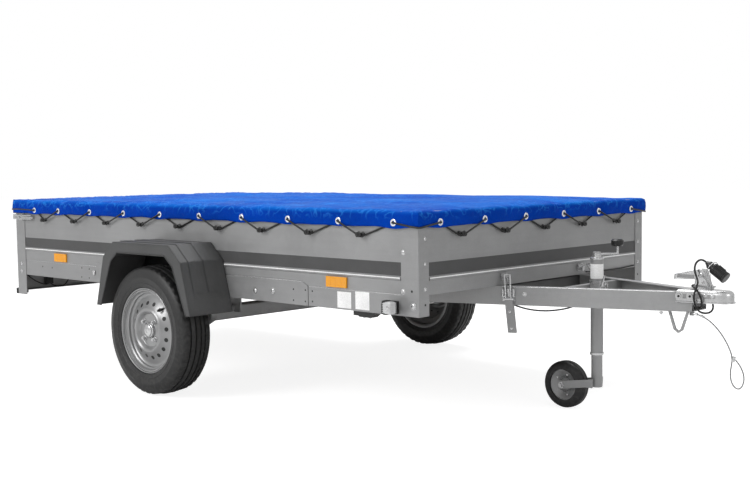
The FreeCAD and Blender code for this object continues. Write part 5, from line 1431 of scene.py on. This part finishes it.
# Its plate on the beam as (along, up) and its loops as (out, up), and its bows' wire
LATCH_PLATE = ((-0.011, 0.44), (0.037, 0.44), (0.037, 0.486), (-0.011, 0.486))
LATCH_LOOP = ((0.002, 0.461), (0.016, 0.461), (0.016, 0.483), (0.002, 0.483))
BOW_WIRE = 0.0042
CATCH_LEFT = 0.255


def beam_out(ahead, at_nose):
    """How far from the middle a line along a beam is that ends this far out at the nose."""
    return at_nose + (NOSE_X - ahead) * math.tan(BEAM_SLOPE)


def latch_place(along, out, up):
    """A place by the left tilt latch, along the beam's side face and out from it."""
    ahead = LEVER_AHEAD + along * math.cos(BEAM_SLOPE) + out * math.sin(BEAM_SLOPE)
    left = LEVER_OUT - along * math.sin(BEAM_SLOPE) + out * math.cos(BEAM_SLOPE)
    return (ahead, left, up)


def make_tilt_latches():
    """Leaning channel levers of the tilt latches, with bows, loops and pins."""
    levers, shape, catches = new_shapes(3)
    for _, hand in SIDES:
        out = outward(BEAM_SLOPE, hand)
        for low, high, near, far in LEVER_PARTS:
            foot = [(high + LEVER_LEAN, LEVER_FOOT), (low + LEVER_LEAN, LEVER_FOOT)]
            side = [(low, LEVER_HEAD), (high, LEVER_HEAD), *foot]
            corners = [latch_place(along, near, up) for along, up in side]
            add_prism(levers, mirrored(corners, hand), out * (far - near))
        plate = [latch_place(along, 0.0006, up) for along, up in LATCH_PLATE]
        add_prism(shape, mirrored(plate, hand), out * 0.0026)
    for along, top in ((0.004, -0.010), (0.024, 0.012)):
        bow = [latch_place(along, 0.013, 0.447), latch_place((along + top) / 2 + 0.002, 0.009, 0.503)]
        for pair in pairwise([*bow, latch_place(top, -0.011, 0.538)]):
            mirror(add_bar, shape, pair, BOW_WIRE, 14)
    hook = (latch_place(-0.012, -0.011, 0.538), latch_place(0.014, -0.011, 0.538))
    mirror(add_bar, shape, hook, BOW_WIRE, 14)
    pin = (latch_place(-0.004, 0.012, 0.449), latch_place(0.035, 0.012, 0.449))
    mirror(add_bar, shape, pin, 0.0062, 16)
    for along in (-0.007, 0.035):
        for pair in pairwise([latch_place(along, far, up) for far, up in LATCH_LOOP]):
            mirror(add_bar, shape, pair, 0.0032, 12)
    for up in (0.339, 0.401):
        lean = LEVER_LEAN * (LEVER_HEAD - up) / (LEVER_HEAD - LEVER_FOOT)
        place = latch_place(0.0155 + lean, 0.015, up)
        mirror(add_bolt, shape, (place, outward(BEAM_SLOPE, 1)), 0.0036)
    for offset in (-0.012, 0.012):
        places = ((FRONT_FACE + 0.006, CATCH_LEFT + offset, 0.534), (1, 0, 0))
        mirror(add_bolt, catches, places, 0.0055, hexagon=True)
    ends = [(FRONT_FACE + 0.01, CATCH_LEFT + reach, 0.53) for reach in (-0.02, 0.02)]
    mirror(add_bar, catches, ends, 0.0045, 14)
    replaced = ("tilt_latch_left", "tilt_latch_right")
    finish_piece("latch_levers", levers, "dull_zinc", "chassis", replaced, angle=35)
    finish_piece("latch_bows", shape, "zinc_fittings", "chassis", angle=35)
    finish_piece("tilt_catch_fixings", catches, "zinc_fittings", "bed")


BEAM_LEAD = (
    (1.385, -0.258, 0.43), (1.405, -0.246, 0.42), (1.45, -0.225, 0.406), (1.505, -0.205, 0.402),
    (1.56, -0.19, 0.408), (1.61, -0.178, 0.42), (1.63, -0.172, 0.43),
)
PANEL_LEAD = (
    (FRONT_FACE + 0.004, 0.30, 0.503), (FRONT_FACE + 0.005, 0.36, 0.499),
    (FRONT_FACE + 0.005, 0.465, 0.498), (FRONT_FACE + 0.005, 0.6, 0.499),
    (FRONT_FACE + 0.004, 0.67, 0.504),
)


def make_beam_trim():
    """Bolts of the beams, bright strips along their top edges as painted highlights, a cross-member
    between them made dark as painted shade under the box, and two leads.
    """
    shape, rest, edges = new_shapes(3)
    place = (1.462, beam_out(1.462, 0.052), 0.468)
    mirror(add_bolt, shape, (place, outward(BEAM_SLOPE, 1)), 0.0055)
    finish_piece("beam_bolts", shape, "zinc_fittings", "chassis")
    # Painted shade: a cross-member in dark mudguard plastic, for the shade under the box's front
    add_slab(rest, (1.305, -0.28, 0.432), (1.345, 0.28, 0.4905), 0.002, 2)
    finish_piece("panel_crossmember", rest, "guard_plastic", "chassis")
    # Painted highlights: bright zinc strips along the beams' top edges; the piece also holds a small
    # bright cone near the nose
    for side, hand in SIDES:
        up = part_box(f"drawbar_beam_{side}")[1].z - 0.0008
        ends = [(ahead, beam_out(ahead, 0.0512), up) for ahead in (1.38, 1.975)]
        add_bar(edges, *mirrored(ends, hand), 0.0016, 10)
    add_bar(edges, (1.924, -0.07, 0.4195), (1.924, -0.07, 0.409), 0.011, 3, 0.002)
    finish_piece("beam_edges", edges, "zinc_fittings", "chassis")
    add_lead("beam_lead", BEAM_LEAD, "chassis")
    add_lead("panel_lead", PANEL_LEAD, "bed")


# The coupling's half width where the beams end, and how much the nose narrows over a length
NOSE_HALF = 0.0553
NOSE_IN, NOSE_LONG = 0.0193, 0.093
NOSE_TAPER = math.atan2(NOSE_IN, NOSE_LONG)
NOSE_CENTRE = 2.128
NOSE_ROUND = 0.0366
HEAD_REAR = 1.985
HEAD_LOW, HEAD_HIGH = 0.462, 0.503


def coupling_half(ahead):
    """Half the coupling's width at a distance ahead of the axle."""
    if ahead < NOSE_X:
        return beam_out(ahead, NOSE_HALF)
    return NOSE_HALF - (ahead - NOSE_X) / NOSE_LONG * NOSE_IN


def head_plan(grow):
    """Plan of the coupling head's wall, from its rear left to its rear right."""
    side = [(ahead, coupling_half(ahead) + grow) for ahead in (HEAD_REAR, 2.01, NOSE_X, 2.08, 2.12)]
    radius = NOSE_ROUND + grow
    for turn in even(76, 0, 9):
        angle = math.radians(turn)
        side.append((NOSE_CENTRE + radius * math.cos(angle), radius * math.sin(angle)))
    return side + [(ahead, -left) for ahead, left in reversed(side[:-1])]


def make_coupling_head():
    """The coupling's pressed head: a hollow shell with a rounded nose and a rolled foot."""
    shape = bmesh.new()
    loops = []
    walls = ((0.005, HEAD_LOW - 0.003), (0.004, HEAD_LOW), (0.0, HEAD_LOW + 0.002), (0.0, HEAD_HIGH))
    for grow, up in walls:
        verts = [shape.verts.new(spot((ahead, left, up))) for ahead, left in head_plan(grow)]
        loops.append([shape.edges.new((verts[step], verts[step - 1])) for step in range(len(verts))])
    for lower, upper in pairwise(loops):
        bmesh.ops.bridge_loops(shape, edges=lower + upper)
    bmesh.ops.contextual_create(shape, geom=loops[-1])
    bmesh.ops.recalc_face_normals(shape, faces=shape.faces)
    rear = spot((HEAD_REAR + 0.0001, 0, 0)).x
    crest = [edge for edge in loops[-1] if max(vert.co.x for vert in edge.verts) > rear]
    round_edges(shape, crest, 0.017, 6)
    head = finish_piece("coupling_shell", shape, "zinc_fittings", "chassis", ("coupling_head",), angle=40)
    thicken(head, 0.0032)


# Pressed fields of the coupling's sides as (ahead, up) corners, behind and on the nose, where darker
# films lie as painted shade
RECESSES = (
    (BEAM_SLOPE, ((1.986, 0.474), (1.98, 0.4885), (2.034, 0.4895), (2.034, 0.472))),
    (NOSE_TAPER, ((2.036, 0.472), (2.036, 0.4895), (2.116, 0.4885), (2.116, 0.476))),
)
# The handle's hinge pin, its half width, the wire of its rims and their (ahead, up) points
HANDLE_PIN = (2.046, 0.556)
HANDLE_HALF = 0.0145
HANDLE_WIRE = 0.0017
HANDLE_TOP = ((1.9445, 0.5345), (1.9455, 0.5505), (2.026, 0.5705))
HANDLE_FOOT = ((1.9445, 0.5345), (2.026, 0.5385), (2.0245, 0.505))


def make_coupling_trim():
    """Through bolts, rivets and hinge pin of the ball coupling, and its handle's rolled rims, with
    painted shade: dark discs at the bolts' sockets and darker zinc films on the pressed fields of the
    sides and the handle.
    """
    shape, sockets = new_shapes(2)
    side = outward(BEAM_SLOPE, 1)
    for ahead in (1.994, 2.0305):
        place = Vector((ahead, coupling_half(ahead), 0.4815))
        mirror(add_bolt, shape, (place, side), 0.0095, 0.009, hexagon=True)
        # Painted shade: a dark disc at each bolt's socket
        mirror(add_bar, sockets, (place + side * 0.0112, place + side * 0.0124), 0.0045, 16)
    for ahead, up in ((2.082, 0.487), (2.106, 0.484)):
        mirror(add_bolt, shape, ((ahead, coupling_half(ahead), up), outward(NOSE_TAPER, 1)), 0.0052)
    mirror(add_bolt, shape, ((2.049, 0.014, 0.556), (0, 1, 0)), 0.007)
    mirror(add_bolt, shape, ((2.056, HANDLE_HALF, 0.528), (0, 1, 0)), 0.0045)
    finish_piece("coupling_bolts", shape, "zinc_fittings", "chassis")
    finish_piece("bolt_sockets", sockets, "black_plastic", "chassis")
    for side, hand in SIDES:
        panel, recess = new_shapes(2)
        # Painted shade: darker zinc films standing proud on the pressed fields, for the shade in them
        for turn, line in RECESSES:
            corners = [(ahead, hand * coupling_half(ahead), up) for ahead, up in line]
            add_prism(panel, corners, outward(turn, hand) * 0.0006)
        finish_piece(f"coupling_recess_{side}", panel, "dull_zinc", "chassis")
        out = hand * HANDLE_HALF
        rim = [(ahead, out, up) for ahead, up in HANDLE_TOP]
        rim += round_places((HANDLE_PIN[0], out, HANDLE_PIN[1]), 0.0185, even(135, -27, 7))
        rim.append((2.0835, out, 0.505))
        cord_piece(f"handle_rim_{side}", rim, HANDLE_WIRE, "zinc_fittings", "chassis", "POLY")
        foot = [(ahead, out, up) for ahead, up in HANDLE_FOOT]
        cord_piece(f"handle_edge_{side}", foot, HANDLE_WIRE, "zinc_fittings", "chassis", "POLY")
        # Painted shade: a darker zinc film on the handle's side
        add_slab(recess, (1.956, hand * 0.0138, 0.5405), (2.022, hand * 0.0146, 0.5525), 0.0006, 1)
        finish_piece(f"handle_recess_{side}", recess, "dull_zinc", "chassis")


# The plug's section behind its ribbed grip as (radius, along) points, and how far it nods
PLUG_TAIL = (
    (0.0, 0.001), (0.0062, 0.0), (0.0085, 0.006), (0.0125, 0.011), (0.0145, 0.014), (0.0145, 0.022),
    (0.0115, 0.024), (0.0115, 0.028), (0.0185, 0.031),
)
PLUG_FACE = ((0.021, 0.084), (0.021, 0.0895), (0.0195, 0.0915), (0.0, 0.0915))
PLUG_SLOPE = math.radians(35)


def make_plug():
    """Seven-pin plug: ribbed body, cap, collar nut and the tapered sleeve of its cable."""
    aim = Vector((math.cos(PLUG_SLOPE), 0, -math.sin(PLUG_SLOPE)))
    place = Vector(from_nose(CABLE_ROUTE)[-1])
    shape = bmesh.new()
    grip = []
    for ring in even(0.036, 0.078, 8):
        grip += [(0.0205, ring), (0.0205, ring + 0.0025)]
        grip += [(0.0192, ring + 0.0032), (0.0192, ring + 0.0048)]
    add_turned(shape, [*PLUG_TAIL, *grip, *PLUG_FACE], place, aim, 40)
    key = place + aim * 0.06 + Vector((math.sin(PLUG_SLOPE), 0, math.cos(PLUG_SLOPE))) * 0.0205
    add_bar(shape, key - aim * 0.014, key + aim * 0.014, 0.0035, 12)
    return finish_piece("plug_body", shape, "black_plastic", "chassis", ("plug",))


PLUG_HOLDER = (
    (2.083, -0.006, 0.5035), (2.0775, -0.008, 0.535), (2.0745, -0.013, 0.556),
    (2.084, -0.0435, 0.574), (2.102, -0.0445, 0.597), (2.108, -0.02, 0.6035),
    (2.104, 0.0035, 0.594), (2.086, 0.0035, 0.571), (2.0775, -0.006, 0.556), (2.081, -0.004, 0.535),
    (2.087, -0.002, 0.5035),
)
# Section of the sleeve where the cable leaves the nose
SLEEVE = (
    (0.0034, 0.0), (0.0072, 0.0), (0.007, 0.005), (0.0058, 0.009), (0.0056, 0.016), (0.0046, 0.021),
    (0.0034, 0.0215), (0.0034, 0.0),
)


def make_strap():
    """Wire bracket from the coupling's head to a loop round the plug."""
    cord_piece("plug_holder", PLUG_HOLDER, 0.0016, "zinc_fittings", "chassis")


def make_free_cords():
    """The plug's cable and the breakaway rope, at their real lengths."""
    size = sizes()
    cable_places, rope_places = from_nose(CABLE_ROUTE), from_nose(ROPE_ROUTE)
    cable = cord_piece("cable_sheath", cable_places, size.cable_radius, "black_rubber", "chassis")
    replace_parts(cable, "plug_cable")
    relief, ferrules = new_shapes(2)
    start, after = (Vector(place) for place in cable_places[:2])
    add_turned(relief, SLEEVE, start, (after - start).normalized(), 24)
    finish_piece("cable_relief", relief, "black_rubber", "chassis")
    plug = make_plug()
    rope = cord_piece("rope_strand", rope_places, size.rope_radius, "rope_white", "chassis")
    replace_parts(rope, "breakaway_rope")
    add_bar(ferrules, (2.0352, -0.04, 0.418), (2.05, -0.0392, 0.4162), 0.0045, 18)
    add_bar(ferrules, (2.06, -0.0385, 0.4135), (2.074, -0.0365, 0.408), 0.0042, 18)
    add_bar(ferrules, (2.1715, -0.004, 0.273), (2.1655, -0.003, 0.256), 0.0062, 18)
    ends = finish_piece("rope_ferrules", ferrules, "zinc_fittings", "chassis")


# The jockey wheel's tube, its wheel's centre, and its fork's side as (ahead, up) corners
JOCKEY_AHEAD = 1.609
JOCKEY_CENTRE = (1.470, 0, 0.092)
FORK_SIDE = (
    (1.455, 0.084), (1.462, 0.077), (1.580, 0.0965), (1.611, 0.0965), (1.614, 0.133),
    (1.590, 0.127), (1.462, 0.108), (1.455, 0.101),
)
FORK_IN, FORK_OUT = 0.0325, 0.0365
JOCKEY_COLLAR = (
    (0.0, 0.588), (0.0262, 0.588), (0.0262, 0.594), (0.0165, 0.597), (0.0165, 0.612), (0.0, 0.6175),
)
JOCKEY_TUBE = ((0.0, 0.098), (0.0205, 0.098), (0.0213, 0.0995), (0.0213, 0.47), (0.0, 0.47))
# Half of its tyre's section as (radius, out) points
JOCKEY_TREAD = (
    (0.0603, 0.03), (0.066, 0.0294), (0.078, 0.027), (0.088, 0.0216), (0.0912, 0.0144),
    (0.0912, 0.0114), (0.0898, 0.0102), (0.0898, 0.0084), (0.092, 0.0072),
)


def make_jockey_trim():
    """Clamp, wheel nuts and rim rings of the jockey wheel, and a white band round its tube above the beam
    as a painted highlight.
    """
    clamp, label, nuts, rim = new_shapes(4)
    sections = (
        (clamp, hoop(0.0245, 0.0285, 0.47, 0.508), 40),
        (clamp, JOCKEY_COLLAR, 36),
        (clamp, hoop(0.0242, 0.0262, 0.223, 0.231), 36),
        # Painted highlight: a white band round the tube above the beam, where the light falls on it
        (label, hoop(0.0242, 0.0245, 0.515, 0.571), 40),
    )
    for shape, section, steps in sections:
        add_turned(shape, section, (JOCKEY_AHEAD, 0, 0), (0, 0, 1), steps)
    ears = ((JOCKEY_AHEAD + 0.024, 0.003, 0.472), (JOCKEY_AHEAD + 0.042, 0.007, 0.506))
    mirror(add_slab, clamp, ears, 0.001, 1)
    near = (JOCKEY_AHEAD + 0.034, -0.02, 0.489)
    add_bar(clamp, near, (JOCKEY_AHEAD + 0.034, 0.02, 0.489), 0.004, 14)
    add_bar(clamp, near, (JOCKEY_AHEAD + 0.05, -0.026, 0.53), 0.0035, 12)
    finish_piece("jockey_clamp", clamp, "zinc_fittings", "chassis")
    finish_piece("jockey_label", label, "label", "chassis")
    ahead, _, up = JOCKEY_CENTRE
    mirror(add_bolt, nuts, ((ahead, FORK_OUT, up), (0, 1, 0)), 0.0085, 0.008, hexagon=True)
    finish_piece("jockey_axle_nuts", nuts, "zinc_fittings", "jockey_swivel")
    for radius, out in ((0.057, 0.0215), (0.03, 0.013)):
        ring = [(radius - 0.0035, out - 0.002), (radius, out + 0.001), (radius + 0.002, out - 0.002)]
        for hand in (-1, 1):
            add_turned(rim, ring + ring[:1], JOCKEY_CENTRE, (0, hand, 0), 40)
    for place in round_places((ahead, 0.0145, up), 0.042, even(0, 288, 5)):
        mirror(add_bolt, rim, (place, (0, 1, 0)), 0.0032)
    finish_piece("jockey_rim_rings", rim, "zinc_fittings", "jockey_wheel")


def make_jockey_leg():
    """Inner tube of the jockey wheel, and the strap fork that holds its wheel."""
    shape = bmesh.new()
    add_turned(shape, JOCKEY_TUBE, (JOCKEY_AHEAD, 0, 0), (0, 0, 1), 40)
    for hand in (-1, 1):
        corners = [(ahead, hand * FORK_IN, up) for ahead, up in FORK_SIDE]
        add_prism(shape, corners, (0, hand * (FORK_OUT - FORK_IN), 0))
        add_slab(shape, (1.592, hand * 0.014, 0.101), (1.602, hand * FORK_IN, 0.124), 0.001, 1)
    replaced = ("jockey_leg",)
    finish_piece("jockey_fork", shape, "dull_zinc", "jockey_swivel", replaced, angle=35)


def make_jockey_tyre():
    """Solid tyre of the jockey wheel, with a ribbed tread and worn shoulders."""
    shape = bmesh.new()
    profile = [(radius, -out) for radius, out in JOCKEY_TREAD] + list(reversed(JOCKEY_TREAD))
    add_turned(shape, profile + profile[:1], JOCKEY_CENTRE, (0, 1, 0), 72)
    replaced = ("jockey_tyre",)
    finish_piece("jockey_tyre_ribbed", shape, "tyre_rubber", "jockey_wheel", replaced, angle=40)


class TRAILER_OT_drawbar(bpy.types.Operator):
    """Add the tilt latches, and the beams' bolts, painted highlights along their edges, cross-member made
    dark as painted shade, and leads
    """

    bl_idname = "trailer.drawbar"
    bl_label = "Drawbar"

    def execute(self, context):
        make_tilt_latches()
        make_beam_trim()
        return {"FINISHED"}


class TRAILER_OT_coupling(bpy.types.Operator):
    """Make the coupling's head and bolts, the plug on its cable and the breakaway rope"""

    bl_idname = "trailer.coupling"
    bl_label = "Coupling"

    def execute(self, context):
        make_coupling_head()
        make_coupling_trim()
        make_free_cords()
        make_strap()
        return {"FINISHED"}


class TRAILER_OT_jockey_wheel(bpy.types.Operator):
    """Make the jockey wheel's clamp, painted highlight band, rim rings, tyre, tube and fork"""

    bl_idname = "trailer.jockey_wheel"
    bl_label = "Jockey Wheel"

    def execute(self, context):
        make_jockey_trim()
        make_jockey_tyre()
        make_jockey_leg()
        return {"FINISHED"}


# Stage -----------------------------------------------------------------------------------

CAMERA_PLACE = (4.02936, -3.72571, 0.95863)
CAMERA_YAW = 2.3379
CAMERA_PITCH = -0.0742
CAMERA_ROLL = -0.0134
CAMERA_LENS = 55.27


def make_camera():
    """A camera at the photograph's viewing angle."""
    lens = bpy.data.cameras.new("photo_camera")
    lens.sensor_width = 36.0
    lens.lens = CAMERA_LENS
    lens.clip_end = 100.0
    camera = place_object("photo_camera", lens)
    level = math.cos(CAMERA_PITCH)
    aim = Vector((math.cos(CAMERA_YAW) * level, math.sin(CAMERA_YAW) * level, math.sin(CAMERA_PITCH)))
    right = aim.cross(Vector((0, 0, 1))).normalized()
    up = right.cross(aim)
    turned_right = right * math.cos(CAMERA_ROLL) + up * math.sin(CAMERA_ROLL)
    turned_up = up * math.cos(CAMERA_ROLL) - right * math.sin(CAMERA_ROLL)
    facing = Matrix((turned_right, turned_up, -aim)).transposed().to_4x4()
    camera.matrix_world = Matrix.Translation(spot(CAMERA_PLACE)) @ facing
    bpy.context.scene.camera = camera


def add_lamp(name, place, target, wide, power):
    """A large soft lamp aimed at a place."""
    light = bpy.data.lights.new(name, "AREA")
    light.shape = "SQUARE"
    light.size = wide
    light.energy = power
    lamp = place_object(name, light)
    place, target = spot(place), spot(target)
    lamp.matrix_world = Matrix.Translation(place) @ turned((place - target).normalized())


# How bright the surroundings are as light, and how much less as a reflection
AMBIENT = 0.42
GLOSSY_DIM = 0.25
# How much of the floor's own glow the camera sees, and how strong it is
FLOOR_LIFT = 0.55
FLOOR_GLOW = 1.56
WHITE = (1, 1, 1, 1)


def make_world():
    """White surroundings that light the trailer at a plain level."""
    world = bpy.data.worlds.new("studio")
    bpy.context.scene.world = world
    world.use_nodes = True
    tree = world.node_tree
    tree.nodes.clear()
    rays = add_node(tree, "LightPath").outputs
    seen = work_out(tree, "MAXIMUM", rays["Is Camera Ray"], rays["Is Glossy Ray"])
    seen = work_out(tree, "MAXIMUM", seen, rays["Is Transmission Ray"])
    strength = remap(tree, seen, 0.0, 1.0, AMBIENT, 1.0)
    shine = remap(tree, rays["Is Glossy Ray"], 0.0, 1.0, 0.0, -GLOSSY_DIM)
    total = work_out(tree, "ADD", strength, shine)
    back = add_node(tree, "Background", None, Color=WHITE, Strength=total)
    out = add_node(tree, "OutputWorld")
    tree.links.new(back.outputs[0], out.inputs["Surface"])


def make_floor():
    """Pale floor that keeps the trailer's shadow and meets the white surroundings."""
    shape = bmesh.new()
    bmesh.ops.create_grid(shape, x_segments=1, y_segments=1, size=30.0)
    mesh = bpy.data.meshes.new("studio_floor")
    shape.to_mesh(mesh)
    shape.free()
    floor = place_object("studio_floor", mesh)
    material, tree, shader = start_material("studio_floor")
    colours = bpy.context.scene.trailer_colours
    fill_inputs(tree, shader, Base_Color=colours.floor, Roughness=0.9)
    rays = add_node(tree, "LightPath").outputs
    lift = remap(tree, rays["Is Camera Ray"], 0.0, 1.0, 0.0, FLOOR_LIFT)
    glow = add_node(tree, "Emission", None, Color=WHITE, Strength=FLOOR_GLOW)
    principled = tree.nodes["Principled BSDF"].outputs[0]
    both = add_node(tree, "MixShader", None, n0=lift, n1=principled, n2=glow.outputs[0])
    tree.links.new(both.outputs[0], tree.nodes["Material Output"].inputs["Surface"])
    mesh.materials.append(material)


class TRAILER_OT_stage(bpy.types.Operator):
    """Set the pale floor, the soft lamps, the white surroundings and the camera"""

    bl_idname = "trailer.stage"
    bl_label = "Stage"

    def execute(self, context):
        make_floor()
        make_world()
        add_lamp("key_lamp", (-1.5, -7.0, 4.5), (0.0, 0.0, 0.5), 3.5, 300.0)
        add_lamp("top_lamp", (-0.5, 1.0, 6.0), (0.0, 0.0, 0.5), 4.0, 330.0)
        add_lamp("front_lamp", (7.0, -1.0, 2.5), (1.5, 0.0, 0.5), 3.0, 60.0)
        make_camera()
        context.scene.view_settings.view_transform = "Standard"
        return {"FINISHED"}


class TRAILER_PT_sidebar(bpy.types.Panel):
    """Buttons that dress the trailer, in order"""

    bl_idname = "TRAILER_PT_sidebar"
    bl_label = "Trailer"
    bl_space_type = "VIEW_3D"
    bl_region_type = "UI"
    bl_category = "Trailer"

    def draw(self, context):
        for operator in OPERATORS:
            self.layout.operator(operator.bl_idname)
        for group in (context.scene.trailer_sizes, context.scene.trailer_colours):
            for name in group.__annotations__:
                self.layout.prop(group, name)


OPERATORS = (
    TRAILER_OT_stage,
    TRAILER_OT_finishes,
    TRAILER_OT_tarpaulin,
    TRAILER_OT_lacing,
    TRAILER_OT_wheels,
    TRAILER_OT_mudguards,
    TRAILER_OT_walls,
    TRAILER_OT_rear,
    TRAILER_OT_drawbar,
    TRAILER_OT_coupling,
    TRAILER_OT_jockey_wheel,
)
CLASSES = (TrailerSizes, TrailerColours, *OPERATORS, TRAILER_PT_sidebar)


def register():
    for item in CLASSES:
        bpy.utils.register_class(item)
    bpy.types.Scene.trailer_sizes = bpy.props.PointerProperty(type=TrailerSizes)
    bpy.types.Scene.trailer_colours = bpy.props.PointerProperty(type=TrailerColours)


def unregister():
    del bpy.types.Scene.trailer_colours
    del bpy.types.Scene.trailer_sizes
    for item in reversed(CLASSES):
        bpy.utils.unregister_class(item)


def main():
    """Dress the trailer."""
    register()
    for operator in OPERATORS:
        group, name = operator.bl_idname.split(".")
        getattr(getattr(bpy.ops, group), name)()


if __name__ == "__main__":
    main()
